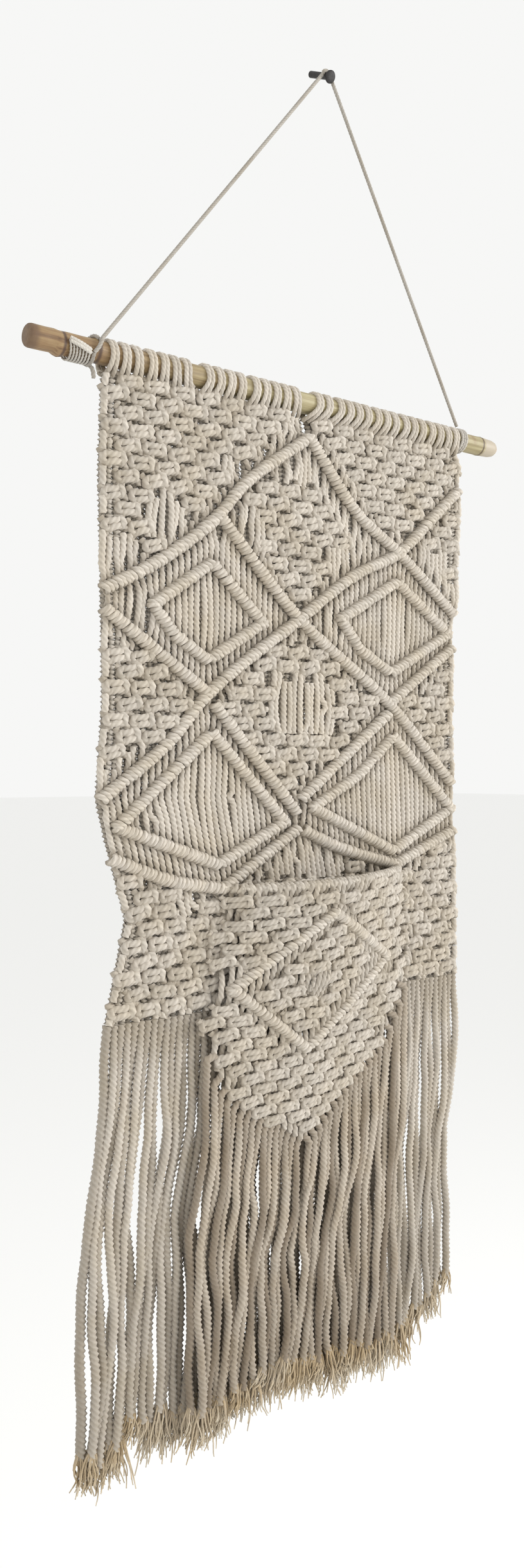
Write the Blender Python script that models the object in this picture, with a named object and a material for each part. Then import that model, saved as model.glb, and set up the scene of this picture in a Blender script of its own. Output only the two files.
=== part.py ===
"""A knotted cotton wall hanging on a stick, hung by a thin cord from a nail.

The origin is the nail's flat end against the wall. +X runs to the right along the wall, +Y into it, and
everything hangs in front of it, at negative Y. Sizes are in metres. A place on the cloth is given as
(across, down): to the right of the cloth's left edge, and below the stick's axis.
"""

import math

import bmesh
import bpy
from mathutils import Vector

# Working cord: 64 lengths side by side make the cloth.
CORD = 0.0050
CORD_COUNT = 64
CLOTH_WIDTH = CORD * CORD_COUNT
GAP = 0.0003

# Where the cloth hangs from the nail.
CLOTH_LEFT_X = -0.1785
ROD_Y = -0.0135
ROD_Z = -0.2357

# Stick: a peeled branch with a knot at each end.
ROD_RADIUS = 0.0070
ROD_SIDES = 12
# Sections of the stick: across, radius, and how far a knot lifts the section.
ROD_SECTIONS = (
    (-0.0505, 0.0064, 0.0),
    (-0.0495, 0.0070, 0.0),
    (-0.0335, 0.0069, 0.0),
    (-0.0300, 0.0075, -0.0009),
    (-0.0265, 0.0069, 0.0),
    (-0.0085, 0.0069, 0.0),
    (-0.0050, 0.0075, 0.0006),
    (-0.0015, 0.0070, 0.0),
    (0.1600, 0.0070, 0.0),
    (0.3320, 0.0069, 0.0),
    (0.3385, 0.0072, 0.0),
    (0.3420, 0.0068, 0.0),
    (0.3510, 0.0064, 0.0),
    (0.3560, 0.0046, 0.0),
    (0.3572, 0.0024, 0.0),
)

# Nail: driven in at a slope, with the cord resting behind its head.
NAIL_RADIUS = 0.00225
NAIL_REACH = Vector((0.0014, -0.0193, -0.0095))
NAIL_HEAD_RADIUS = 0.0042
NAIL_HEAD_THICKNESS = 0.0018
NAIL_SIDES = 14
NAIL_HEAD_BEVEL = 0.0005
NAIL_NECK = 0.0010
NAIL_CORD_AT = 0.82

# Hanging cord: thinner than the working cord.
HANGER_RADIUS = 0.00125
LEFT_HITCH = (-0.0265, -0.0115)
RIGHT_HITCH = (0.3116, 0.3184)
HITCH_OUTER = 0.0098
HITCH_EDGE = 0.0010
HITCH_CLEARANCE = 0.0009
# The cord's way over the front of the stick, from beside the left hitch: across, down, out.
HANGER_OVER_ROD = (
    (-0.0101, 0.0037, 0.0079),
    (-0.0075, 0.0000, 0.0092),
    (-0.0050, -0.0050, 0.0088),
    (-0.0020, -0.0084, 0.0060),
)
# The hitch's short tail: across, down, out at its two ends.
HITCH_TAIL = ((-0.0130, 0.0084, -0.0010), (-0.0118, 0.0165, -0.0010))
# The shares of the cord's straight runs at which it has a joint, up to the nail and down from it.
HANGER_RISE = (0.15, 0.35, 0.55, 0.75, 0.92)
HANGER_FALL = (0.08, 0.25, 0.45, 0.65, 0.85, 1.0)
# Degrees round the nail at which the cord lies on it, from the left side over the top.
NAIL_TURN = (170.0, 130.0, 90.0, 50.0, 10.0)
NAIL_CORD_CLEARANCE = 0.0009

# Larks' heads: each is two turns of cord round the stick.
HEAD_COUNT = 32
HEAD_WIDTH = 0.0087
HEAD_STEPS = 8
HEAD_INNER = 0.00800
HEAD_VALLEY = 0.0098
HEAD_PEAK = 0.0118
HEAD_CREST = (0.28, 0.72)
# Bare stick after a head: number of the head, width of the gap.
HEAD_GAPS = {
    3: 0.0018,
    7: 0.0088,
    11: 0.0032,
    16: 0.0118,
    18: 0.0024,
    22: 0.0014,
    25: 0.0018,
    28: 0.0014,
}

# Knotted panel: rows of down, left edge, right edge.
PANEL_ROWS = (
    (0.0086, -0.0005, 0.3085),
    (0.0180, -0.0020, 0.3160),
    (0.0720, -0.0038, 0.3150),
    (0.1360, -0.0020, 0.3100),
    (0.2096, -0.0010, 0.3060),
    (0.2670, -0.0055, 0.3095),
    (0.2920, 0.0010, 0.3090),
    (0.3400, 0.0155, 0.3110),
    (0.4030, 0.0010, 0.3120),
)
PANEL_BACK = -0.0045
PANEL_FRONT = 0.0045

# Double half-hitch bars: ridges of wrapped cord, whose crest turns from side to side.
BAR_HALF_WIDTH = 0.0046
BAR_ROOT = 0.0015
BAR_CREST = 0.0042
BAR_CREST_LOW = 0.0029
BAR_CREST_SHIFT = 0.0022
BAR_STEP = 0.0125
# The bars' turning points on the panel: across, down.
BAR_POINTS = {
    "crown": (0.1620, 0.0240),
    "left brow": (0.1050, 0.0645),
    "left shoulder": (0.0850, 0.0865),
    "left elbow": (0.0600, 0.1065),
    "left arm": (0.0300, 0.1255),
    "left hem 1": (-0.0020, 0.1415),
    "left hem 2": (-0.0020, 0.1530),
    "left hem 3": (-0.0040, 0.2670),
    "left hem 4": (0.0030, 0.3030),
    "right brow": (0.2070, 0.0700),
    "right shoulder": (0.2480, 0.0930),
    "right slope": (0.2050, 0.1130),
    "right arm": (0.2860, 0.0610),
    "right hem 1": (0.3140, 0.0385),
    "right hem 2": (0.3090, 0.1340),
    "right hem 3": (0.3060, 0.1600),
    "right hem 4": (0.3060, 0.2600),
    "right hem 5": (0.3075, 0.2935),
    "heart": (0.1530, 0.1480),
    "left cross": (0.0765, 0.2010),
    "left cross low": (0.0815, 0.2080),
    "left waist": (0.0450, 0.2330),
    "right cross": (0.2380, 0.2020),
    "right cross low": (0.2360, 0.2100),
    "foot left": (0.1500, 0.2775),
    "foot right": (0.1550, 0.2685),
    "foot low left": (0.1510, 0.2890),
    "foot low right": (0.1570, 0.2900),
    "left base": (0.0860, 0.3200),
    "left base bend": (0.0480, 0.3170),
    "right base": (0.2440, 0.3125),
    "right base bend": (0.1860, 0.3020),
    "A left": (0.0340, 0.1480),
    "A top": (0.0790, 0.1175),
    "A right": (0.1210, 0.1530),
    "A low": (0.0760, 0.1800),
    "A bend": (0.0490, 0.1650),
    "B left": (0.1910, 0.1450),
    "B top": (0.2460, 0.1140),
    "B right": (0.3000, 0.1480),
    "B low": (0.2400, 0.1800),
    "B bend": (0.2090, 0.1650),
    "C left": (0.0080, 0.2840),
    "C top": (0.0790, 0.2255),
    "C right": (0.1400, 0.2840),
    "C low": (0.0840, 0.3090),
    "D left": (0.1650, 0.2750),
    "D top": (0.2420, 0.2250),
    "D right": (0.3030, 0.2780),
    "D low": (0.2420, 0.3035),
    "D bend": (0.2080, 0.2530),
}
BARS = (
    ("crown", "left brow", "left shoulder", "left elbow", "left arm", "left hem 1"),
    ("crown", "right brow", "right shoulder", "right hem 2"),
    ("right hem 1", "right arm", "right shoulder", "right slope",
     "heart", "left cross", "left waist", "left hem 3"),
    ("left shoulder", "heart", "right cross", "right hem 4"),
    ("left hem 2", "left cross"),
    ("right hem 3", "right cross"),
    ("left cross low", "foot left"),
    ("right cross low", "foot right"),
    ("left hem 4", "left base bend", "left base"),
    ("foot low left", "left base"),
    ("foot low right", "right base bend", "right base"),
    ("right hem 5", "right base"),
)
# Inner diamonds, each the bars above and the bars below a patch of bare strands.
INNER_DIAMONDS = (
    (("A left", "A top", "A right"), ("A left", "A bend", "A low", "A right")),
    (("B left", "B top", "B right"), ("B left", "B bend", "B low", "B right")),
    (("C left", "C top", "C right"), ("C left", "C low", "C right")),
    (("D left", "D bend", "D top", "D right"), ("D left", "D low", "D right")),
)
STRAND_RISE = 0.0066
STRAND_VALLEY = 0.0050
# Other patches of bare strands: first and last across, upper and lower down.
STRAND_PATCHES = (
    (0.1330, 0.1850, 0.1900, 0.2260),
    (0.0900, 0.1200, 0.0860, 0.1060),
    (0.2000, 0.2260, 0.0800, 0.1010),
    (0.1450, 0.1760, 0.0370, 0.0560),
    (0.0300, 0.0600, 0.0840, 0.1050),
    (0.1280, 0.1500, 0.3080, 0.3180),
    (0.1590, 0.1900, 0.3080, 0.3180),
)

# Gaps cut through between cords: across, down, width, height.
GAPS = (
    (0.1600, 0.0150, 0.0130, 0.0080),
    (0.1520, 0.2070, 0.0046, 0.0340),
    (0.1360, 0.2080, 0.0042, 0.0180),
    (0.1605, 0.2070, 0.0042, 0.0260),
    (0.1510, 0.3060, 0.0042, 0.0220),
    (0.1290, 0.0350, 0.0070, 0.0060),
    (0.1160, 0.0440, 0.0060, 0.0060),
    (0.1045, 0.0525, 0.0060, 0.0055),
    (0.1360, 0.0530, 0.0045, 0.0080),
    (0.0825, 0.2065, 0.0070, 0.0045),
    (0.0670, 0.3320, 0.0045, 0.0110),
    (0.2035, 0.0900, 0.0045, 0.0180),
    (0.1035, 0.0940, 0.0045, 0.0200),
    (0.0120, 0.1470, 0.0045, 0.0080),
)
# A gap's outline: shares of its width and of its height.
GAP_OUTLINE = ((0, 0.5), (0.5, 0.28), (0.5, -0.28), (0, -0.5), (-0.5, -0.28), (-0.5, 0.28))
GAP_CUT = 0.0200

# Pocket: a second panel, sewn in at its sides, that stands out at its open top.
POCKET_CORDS = 36
POCKET_KNOTS = POCKET_CORDS // 4
POCKET_THICKNESS = 0.0070
POCKET_FLUTE = 0.0018
POCKET_BULGE = 0.0250
POCKET_FALL = 1.2
POCKET_LOW_LIFT = 0.0032
POCKET_TOP_LEFT = (0.0915, 0.3245)
POCKET_TOP_RIGHT = (0.2455, 0.3185)
POCKET_ROWS = (0.0, 0.12, 0.26, 0.42, 0.58, 0.74, 0.88, 1.0)
POCKET_BACK_STEP = 2
# The pocket's V-shaped lower edge: across, down.
POCKET_EDGE = (
    (0.0733, 0.4147),
    (0.0770, 0.4386),
    (0.0853, 0.4518),
    (0.0985, 0.4663),
    (0.1117, 0.4757),
    (0.1300, 0.4840),
    (0.1480, 0.4960),
    (0.1688, 0.4782),
    (0.1884, 0.4612),
    (0.2056, 0.4493),
    (0.2215, 0.4373),
    (0.2353, 0.4134),
    (0.2425, 0.3965),
)
POCKET_DIAMOND = ((0.1609, 0.3434), (0.2240, 0.3790), (0.1465, 0.4336), (0.0891, 0.3895))

# Fringe: the cords' free ends, in two layers that hang clear of each other.
STRAND_RADIUS = 0.0025
STRAND_SIDES = 3
STRAND_LAYER = 0.0027
STRAND_SWAY = 0.0022
STRAND_TURN = 2.4
STRAND_WAVE = 7.5
STRAND_STATIONS = (0.0, 0.20, 0.45, 0.72, 1.0)
STRIP_HEIGHT = 0.0040
STRIP_HALF_DEPTH = 0.0042
POCKET_STRIP_HALF_DEPTH = 0.00336
EDGE_REACH = 0.0020
POCKET_FRINGE_OUT = 0.0122
# How the fringe leans as it falls: share of its length, shift at the left side, shift at the right side.
FRINGE_LEAN = (
    (0.0, 0.0, 0.0),
    (0.3, -0.0060, 0.0),
    (0.5, -0.0130, -0.0080),
    (0.8, -0.0160, -0.0080),
    (1.0, -0.0200, -0.0100),
)
# The ends of the strands: across, down.
FRINGE_ENDS = (
    (0.000, 0.6690),
    (0.020, 0.6800),
    (0.034, 0.6660),
    (0.080, 0.6720),
    (0.128, 0.6640),
    (0.146, 0.6580),
    (0.180, 0.6660),
    (0.250, 0.6660),
    (0.280, 0.6520),
    (0.295, 0.6400),
    (0.312, 0.6240),
)


def interpolate(rows, key, column=1):
    """The value of a column at a key between the rows of a table."""
    if key <= rows[0][0]:
        return rows[0][column]
    for low, high in zip(rows, rows[1:]):
        if key <= high[0]:
            share = (key - low[0]) / (high[0] - low[0])
            return low[column] + share * (high[column] - low[column])
    return rows[-1][column]


def mix(first, second, share):
    return first + (second - first) * share


def place(across, down, out=0.0):
    """A place on the cloth, out in front of the stick's axis."""
    return Vector((CLOTH_LEFT_X + across, ROD_Y - out, ROD_Z - down))


def collection(name):
    made = bpy.data.collections.new(name)
    bpy.context.scene.collection.children.link(made)
    return made


def material(name, color, roughness, metallic=0.0):
    made = bpy.data.materials.new(name)
    made.use_nodes = True
    shader = made.node_tree.nodes["Principled BSDF"]
    shader.inputs["Base Color"].default_value = (*color, 1.0)
    shader.inputs["Roughness"].default_value = roughness
    shader.inputs["Metallic"].default_value = metallic
    return made


def loft(bm, rings):
    """A closed solid through rings that have the same number of points."""
    rows = [[bm.verts.new(point) for point in ring] for ring in rings]
    for upper, lower in zip(rows, rows[1:]):
        for i in range(len(upper)):
            j = (i + 1) % len(upper)
            bm.faces.new((upper[i], upper[j], lower[j], lower[i]))
    bm.faces.new(rows[0])
    bm.faces.new(rows[-1])


def finished(name, bm, where, finish):
    """An object from a bmesh, in flat triangles with their faces turned outwards."""
    bmesh.ops.recalc_face_normals(bm, faces=bm.faces)
    bmesh.ops.triangulate(bm, faces=bm.faces)
    if bm.calc_volume(signed=True) < 0:
        bmesh.ops.reverse_faces(bm, faces=bm.faces)
    mesh = bpy.data.meshes.new(name)
    bm.to_mesh(mesh)
    bm.free()
    mesh.materials.append(finish)
    made = bpy.data.objects.new(name, mesh)
    where.objects.link(made)
    return made


def helper(name, bm, where, finish):
    """A solid that is only joined to or cut from another."""
    made = finished(name, bm, where, finish)
    made.hide_render = True
    made.display_type = "WIRE"
    return made


def boolean(target, operation, group):
    step = target.modifiers.new(operation.lower(), "BOOLEAN")
    step.operation = operation
    step.solver = "EXACT"
    step.operand_type = "COLLECTION"
    step.collection = group


def round_ring(center, side, up, radius, sides, turn=0.0):
    """Points round a center, in the plane of two directions."""
    ring = []
    for i in range(sides):
        angle = turn + math.tau * i / sides
        ring.append(center + radius * (math.cos(angle) * side + math.sin(angle) * up))
    return ring


def make_rod(where, finish):
    bm = bmesh.new()
    rings = []
    for across, radius, lift in ROD_SECTIONS:
        center = place(across, -lift)
        rings.append(round_ring(center, Vector((0, 1, 0)), Vector((0, 0, 1)), radius, ROD_SIDES))
    loft(bm, rings)
    finished("rod", bm, where, finish)


def make_nail(where, finish):
    axis = NAIL_REACH.normalized()
    side = Vector((0, 0, 1)).cross(axis).normalized()
    up = axis.cross(side)
    bm = bmesh.new()
    wall_end = [
        point - axis * (point.y / axis.y)
        for point in round_ring(Vector((0, 0, 0)), side, up, NAIL_RADIUS, NAIL_SIDES)
    ]
    neck = NAIL_REACH - axis * (0.5 * NAIL_HEAD_THICKNESS)
    tip = NAIL_REACH + axis * (0.5 * NAIL_HEAD_THICKNESS)
    sections = (
        (neck - axis * NAIL_NECK, NAIL_RADIUS),
        (neck, NAIL_HEAD_RADIUS),
        (tip - axis * NAIL_HEAD_BEVEL, NAIL_HEAD_RADIUS),
        (tip, 0.8 * NAIL_HEAD_RADIUS),
    )
    rings = [wall_end]
    for center, radius in sections:
        rings.append(round_ring(center, side, up, radius, NAIL_SIDES))
    loft(bm, rings)
    finished("nail", bm, where, finish)


def head_groups():
    """Runs of larks' heads that touch: first edge and number of heads."""
    groups = []
    left = 0.0
    count = 0
    start = left
    for head in range(1, HEAD_COUNT + 1):
        left += HEAD_WIDTH
        count += 1
        if head in HEAD_GAPS or head == HEAD_COUNT:
            groups.append((start, count))
            left += HEAD_GAPS.get(head, 0.0)
            start = left
            count = 0
    return groups


def make_heads(where, finish):
    """Each run of larks' heads is a scalloped wall turned round the stick."""
    for number, (start, count) in enumerate(head_groups()):
        outline = [(start, HEAD_INNER), (start, HEAD_VALLEY)]
        for head in range(count):
            left = start + head * HEAD_WIDTH
            for share in HEAD_CREST:
                outline.append((left + share * HEAD_WIDTH, HEAD_PEAK))
            outline.append((left + HEAD_WIDTH, HEAD_VALLEY))
        outline.append((start + count * HEAD_WIDTH, HEAD_INNER))
        bm = bmesh.new()
        points = [bm.verts.new(place(across, -radius)) for across, radius in outline]
        profile = [bm.edges.new(pair) for pair in zip(points, points[1:] + points[:1])]
        bmesh.ops.spin(
            bm,
            geom=points + profile,
            cent=place(0, 0),
            axis=(1, 0, 0),
            angle=math.tau,
            steps=HEAD_STEPS,
            use_merge=True,
        )
        helper(f"heads_{number}", bm, where, finish)


def bar_rings(line):
    """Rings of a wrapped bar along a line of (position, outward) pairs on the face under it."""
    rings = []
    for i, (position, outward) in enumerate(line):
        before = line[max(i - 1, 0)][0]
        after = line[min(i + 1, len(line) - 1)][0]
        side = (after - before).cross(outward).normalized()
        turn = 1 if i % 2 else -1
        root = position - outward * BAR_ROOT
        crest = position + outward * (BAR_CREST if i % 2 else BAR_CREST_LOW)
        half = side * BAR_HALF_WIDTH
        rings.append([root - half, root + half, crest + side * turn * BAR_CREST_SHIFT])
    return rings


def stepped(points, step):
    """Points an even step apart along a line of (across, down) points."""
    path = [Vector(point) for point in points]
    lengths = [(b - a).length for a, b in zip(path, path[1:])]
    total = sum(lengths)
    count = max(2, round(total / step))
    found = []
    for i in range(count + 1):
        reach = total * i / count
        for start, end, length in zip(path, path[1:], lengths):
            if reach <= length + 1e-9:
                found.append(start.lerp(end, min(reach / length, 1.0)))
                break
            reach -= length
    return found


def make_panel_bars(where, finish):
    routes = [[BAR_POINTS[name] for name in bar] for bar in BARS]
    for sides in INNER_DIAMONDS:
        for side in sides:
            corners = [BAR_POINTS[name] for name in side]
            for start, end in zip(corners, corners[1:]):
                routes.append([start, end])
    outward = Vector((0, -1, 0))
    for number, route in enumerate(routes):
        line = [(place(*point, PANEL_FRONT), outward) for point in stepped(route, BAR_STEP)]
        bm = bmesh.new()
        loft(bm, bar_rings(line))
        helper(f"bar_{number}", bm, where, finish)


def strand_patch(name, columns, where, finish):
    """Strands that run free between knots, side by side, from columns of (across, upper and lower down)."""
    half = 0.5 * CORD
    rings = ([], [])
    for side in (0, 1):
        front = []
        back = []
        for across, *ends in columns:
            for shift, out in ((-half, STRAND_VALLEY), (0.0, STRAND_RISE)):
                front.append(place(across + shift, ends[side], out))
                back.append(place(across + shift, ends[side], 0.0))
        last = columns[-1][0] + half
        front.append(place(last, columns[-1][1 + side], STRAND_VALLEY))
        back.append(place(last, columns[-1][1 + side], 0.0))
        rings[side].extend(front + back[::-1])
    bm = bmesh.new()
    loft(bm, rings)
    helper(name, bm, where, finish)


def make_bare_strands(where, finish):
    for diamond, sides in enumerate(INNER_DIAMONDS):
        upper, lower = ([BAR_POINTS[name] for name in side] for side in sides)
        left, right = upper[0][0], upper[-1][0]
        count = int((right - left) / CORD) - 2
        columns = []
        for number in range(count):
            across = left + (right - left) * (number + 1.5) / (count + 2)
            columns.append((across, interpolate(upper, across), interpolate(lower, across)))
        strand_patch(f"diamond_strands_{diamond}", columns, where, finish)
    for number, (first, last, upper, lower) in enumerate(STRAND_PATCHES):
        count = round((last - first) / CORD)
        columns = [(first + (i + 0.5) * CORD, upper, lower) for i in range(count)]
        strand_patch(f"patch_strands_{number}", columns, where, finish)


def make_panel(where, helpers, cutters, finish):
    """The knotted cloth, fused to the larks' heads above it and to the bars that cross it."""
    rings = []
    for down, left, right in PANEL_ROWS:
        corners = ((left, PANEL_BACK), (left, PANEL_FRONT), (right, PANEL_FRONT), (right, PANEL_BACK))
        rings.append([place(across, down, out) for across, out in corners])
    bm = bmesh.new()
    loft(bm, rings)
    panel = finished("knotted_panel", bm, where, finish)
    for number, (across, down, width, height) in enumerate(GAPS):
        bm = bmesh.new()
        rings = []
        for out in (-GAP_CUT, GAP_CUT):
            spots = [(across + side * width, down + rise * height) for side, rise in GAP_OUTLINE]
            rings.append([place(*spot, out) for spot in spots])
        loft(bm, rings)
        helper(f"gap_{number}", bm, cutters, finish)
    make_heads(helpers, finish)
    make_panel_bars(helpers, finish)
    make_bare_strands(helpers, finish)
    boolean(panel, "UNION", helpers)
    boolean(panel, "DIFFERENCE", cutters)


def smooth_step(value, low, high):
    share = min(max((value - low) / (high - low), 0.0), 1.0)
    return share * share * (3 - 2 * share)


def pocket_back(u, v):
    """How far out the pocket's back lies: u from side to side, v from its open top to its lower edge."""
    seat = PANEL_FRONT + GAP
    belly = POCKET_BULGE * math.sin(math.pi * u) ** 0.8 * (1 - v) ** POCKET_FALL
    return seat + belly + POCKET_LOW_LIFT * smooth_step(v, 0.35, 0.85)


def pocket_spot(u, v):
    """Across and down of a place on the pocket."""
    top_across = mix(POCKET_TOP_LEFT[0], POCKET_TOP_RIGHT[0], u)
    top_down = mix(POCKET_TOP_LEFT[1], POCKET_TOP_RIGHT[1], u)
    low_across = mix(POCKET_EDGE[0][0], POCKET_EDGE[-1][0], u)
    low_down = interpolate(POCKET_EDGE, low_across)
    return mix(top_across, low_across, v), mix(top_down, low_down, v)


def pocket_share(across, down):
    """The u and v of a place on the pocket, found by closing in on it."""
    u = 0.5
    v = 0.5
    for _ in range(40):
        here = pocket_spot(u, v)
        u = min(max(u + (across - here[0]) / CLOTH_WIDTH, 0.0), 1.0)
        v = min(max(v + (down - here[1]) / CLOTH_WIDTH, 0.0), 1.0)
    return u, v


def make_pocket(where, helpers, finish):
    columns = 2 * POCKET_KNOTS
    rings = []
    for v in POCKET_ROWS:
        ring = []
        for i in range(columns + 1):
            u = i / columns
            out = pocket_back(u, v) + POCKET_THICKNESS
            ring.append(place(*pocket_spot(u, v), out if i % 2 else out - POCKET_FLUTE))
        for i in range(columns, -1, -POCKET_BACK_STEP):
            u = i / columns
            ring.append(place(*pocket_spot(u, v), pocket_back(u, v)))
        rings.append(ring)
    bm = bmesh.new()
    loft(bm, rings)
    pocket = finished("pocket_panel", bm, where, finish)
    for number in range(4):
        corners = (POCKET_DIAMOND[number], POCKET_DIAMOND[(number + 1) % 4])
        line = []
        for across, down in stepped(corners, BAR_STEP):
            u, v = pocket_share(across, down)
            out = pocket_back(u, v) + POCKET_THICKNESS - POCKET_FLUTE
            line.append((place(across, down, out), Vector((0, -1, 0))))
        bm = bmesh.new()
        loft(bm, bar_rings(line))
        helper(f"pocket_bar_{number}", bm, helpers, finish)
    boolean(pocket, "UNION", helpers)


def strand_rings(root, end_across, end_down, out, number, lean_share):
    """Rings of one hanging strand, which sways a little to each side as it falls."""
    rings = []
    phase = STRAND_TURN * number
    across, down = root
    for share in STRAND_STATIONS:
        lean = mix(interpolate(FRINGE_LEAN, share, 1), interpolate(FRINGE_LEAN, share, 2), lean_share)
        sway = STRAND_SWAY * math.sin(phase + STRAND_WAVE * share) * smooth_step(share, 0.0, 0.3)
        center = place(mix(across, end_across, share) + lean + sway, mix(down, end_down, share), out)
        rings.append(
            round_ring(center, Vector((1, 0, 0)), Vector((0, 1, 0)), STRAND_RADIUS, STRAND_SIDES, phase)
        )
    return rings


def fringe_end(across):
    return interpolate(FRINGE_ENDS, across)


def make_panel_fringe(where, helpers, finish):
    """The panel's cords below its last knots, fused to a narrow strip under its lower edge."""
    last_down, left, right = PANEL_ROWS[-1]
    top = last_down + GAP
    bm = bmesh.new()
    rings = []
    for down in (top, top + STRIP_HEIGHT):
        corners = ((left, -1), (right, -1), (right, 1), (left, 1))
        rings.append([place(across, down, face * STRIP_HALF_DEPTH) for across, face in corners])
    loft(bm, rings)
    fringe = finished("panel_fringe", bm, where, finish)
    bm = bmesh.new()
    for number in range(CORD_COUNT):
        share = (number + 0.5) / CORD_COUNT
        across = mix(left, right, share)
        out = STRAND_LAYER if number % 2 else -STRAND_LAYER
        root = (across, top + 0.5 * STRIP_HEIGHT)
        end_down = fringe_end(across) - 0.004 * (number % 3)
        loft(bm, strand_rings(root, across, end_down, out, number, share))
    helper("panel_strands", bm, helpers, finish)
    boolean(fringe, "UNION", helpers)


def edge_below(across, distance):
    """A place at a distance under the pocket's lower edge, square to it."""
    start = max(across - EDGE_REACH, POCKET_EDGE[0][0])
    end = min(across + EDGE_REACH, POCKET_EDGE[-1][0])
    slope = (interpolate(POCKET_EDGE, end) - interpolate(POCKET_EDGE, start)) / (end - start)
    normal = Vector((-slope, 1)).normalized()
    return Vector((across, interpolate(POCKET_EDGE, across))) + normal * distance


def make_pocket_fringe(where, helpers, finish):
    """The pocket's cords below its last knots, fused to a strip that follows its V-shaped edge."""
    bm = bmesh.new()
    rings = []
    for across, _ in POCKET_EDGE:
        upper = edge_below(across, 2 * GAP)
        lower = edge_below(across, 2 * GAP + STRIP_HEIGHT)
        ring = []
        for spot, face in ((upper, -1), (lower, -1), (lower, 1), (upper, 1)):
            ring.append(place(*spot, POCKET_FRINGE_OUT + face * POCKET_STRIP_HALF_DEPTH))
        rings.append(ring)
    loft(bm, rings)
    fringe = finished("pocket_fringe", bm, where, finish)
    bm = bmesh.new()
    first = POCKET_EDGE[0][0]
    last = POCKET_EDGE[-1][0]
    for number in range(POCKET_CORDS):
        share = (number + 0.5) / POCKET_CORDS
        across = mix(first, last, share)
        root = edge_below(across, 2 * GAP + 0.7 * STRIP_HEIGHT)
        out = POCKET_FRINGE_OUT + (STRAND_LAYER if number % 2 else -STRAND_LAYER)
        end_across = mix(first - 0.004, last + 0.004, share)
        end_down = fringe_end(across) - 0.004 - 0.003 * (number % 4)
        loft(bm, strand_rings(root, end_across, end_down, out, number + 3, 0.3 + 0.4 * share))
    helper("pocket_strands", bm, helpers, finish)
    boolean(fringe, "UNION", helpers)


def make_hitches(where, helpers, finish):
    """The hanging cord's turns round the stick at each end, and its short tail on the left."""
    for name, (left, right) in (("left_hitch", LEFT_HITCH), ("right_hitch", RIGHT_HITCH)):
        middle = 0.5 * (left + right)
        bm = bmesh.new()
        inner = ROD_RADIUS + HITCH_CLEARANCE
        outline = (
            (left, inner),
            (left, HITCH_OUTER - HITCH_EDGE),
            (middle, HITCH_OUTER),
            (right, HITCH_OUTER - HITCH_EDGE),
            (right, inner),
        )
        points = [bm.verts.new(place(across, -radius)) for across, radius in outline]
        profile = [bm.edges.new(pair) for pair in zip(points, points[1:] + points[:1])]
        bmesh.ops.spin(
            bm,
            geom=points + profile,
            cent=place(0, 0),
            axis=(1, 0, 0),
            angle=math.tau,
            steps=12,
            use_merge=True,
        )
        hitch = finished(name, bm, where, finish)
        if name == "left_hitch":
            bm = bmesh.new()
            rings = []
            for end in HITCH_TAIL:
                rings.append(round_ring(place(*end), Vector((1, 0, 0)), Vector((0, 1, 0)), HANGER_RADIUS, 6))
            loft(bm, rings)
            helper("left_tail", bm, helpers, finish)
            boolean(hitch, "UNION", helpers)


def hanger_route():
    """The hanging cord's own points, from the left hitch over the nail to the right hitch."""
    on_nail = NAIL_REACH * NAIL_CORD_AT
    clear = NAIL_RADIUS + HANGER_RADIUS + NAIL_CORD_CLEARANCE
    over_nail = []
    for degrees in NAIL_TURN:
        angle = math.radians(degrees)
        over_nail.append(on_nail + Vector((clear * math.cos(angle), 0.0, clear * math.sin(angle))))
    points = [place(across, down, out) for across, down, out in HANGER_OVER_ROD]
    start = points[-1]
    points += [start.lerp(over_nail[0], share) for share in HANGER_RISE]
    points += over_nail
    end = place(0.5 * sum(RIGHT_HITCH), -(HITCH_OUTER + 0.6 * HANGER_RADIUS + GAP), 0.0)
    points += [over_nail[-1].lerp(end, share) for share in HANGER_FALL]
    return points


def make_hanging_cord(where, finish):
    curve = bpy.data.curves.new("hanging_cord", "CURVE")
    curve.dimensions = "3D"
    curve.bevel_depth = HANGER_RADIUS
    curve.bevel_resolution = 2
    curve.use_fill_caps = True
    route = hanger_route()
    spline = curve.splines.new("POLY")
    spline.points.add(len(route) - 1)
    for point, position in zip(spline.points, route):
        point.co = (*position, 1.0)
    curve.materials.append(finish)
    made = bpy.data.objects.new("hanging_cord", curve)
    where.objects.link(made)


def main():
    for old in list(bpy.data.objects):
        bpy.data.objects.remove(old, do_unlink=True)
    parts = collection("macrame_wall_hanging")
    cotton = material("cotton_cord", (0.64, 0.57, 0.48), 0.9)
    thin_cotton = material("thin_cotton_cord", (0.52, 0.48, 0.44), 0.9)
    wood = material("peeled_branch", (0.42, 0.29, 0.16), 0.6)
    iron = material("blackened_iron", (0.03, 0.03, 0.03), 0.45, 0.8)
    make_rod(parts, wood)
    make_nail(parts, iron)
    make_panel(parts, collection("panel_helpers"), collection("panel_gaps"), cotton)
    make_pocket(parts, collection("pocket_helpers"), cotton)
    make_panel_fringe(parts, collection("fringe_helpers"), cotton)
    make_pocket_fringe(parts, collection("pocket_fringe_helpers"), cotton)
    make_hitches(parts, collection("hitch_helpers"), thin_cotton)
    make_hanging_cord(parts, thin_cotton)


main()
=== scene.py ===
"""A knotted cotton wall hanging on a peeled stick, hung by a thin cord from a nail.

It is dressed in the order in which it hangs: the nail, the thin cord, the stick, and then the cloth from
its larks' heads down to the fringes. A place on the cloth is given as (across, down): to the right of the
cloth's left edge, and below the stick's axis. Out is towards the viewer.
"""

import math
import random

import bmesh
import bpy
from mathutils import Matrix, Vector


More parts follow.
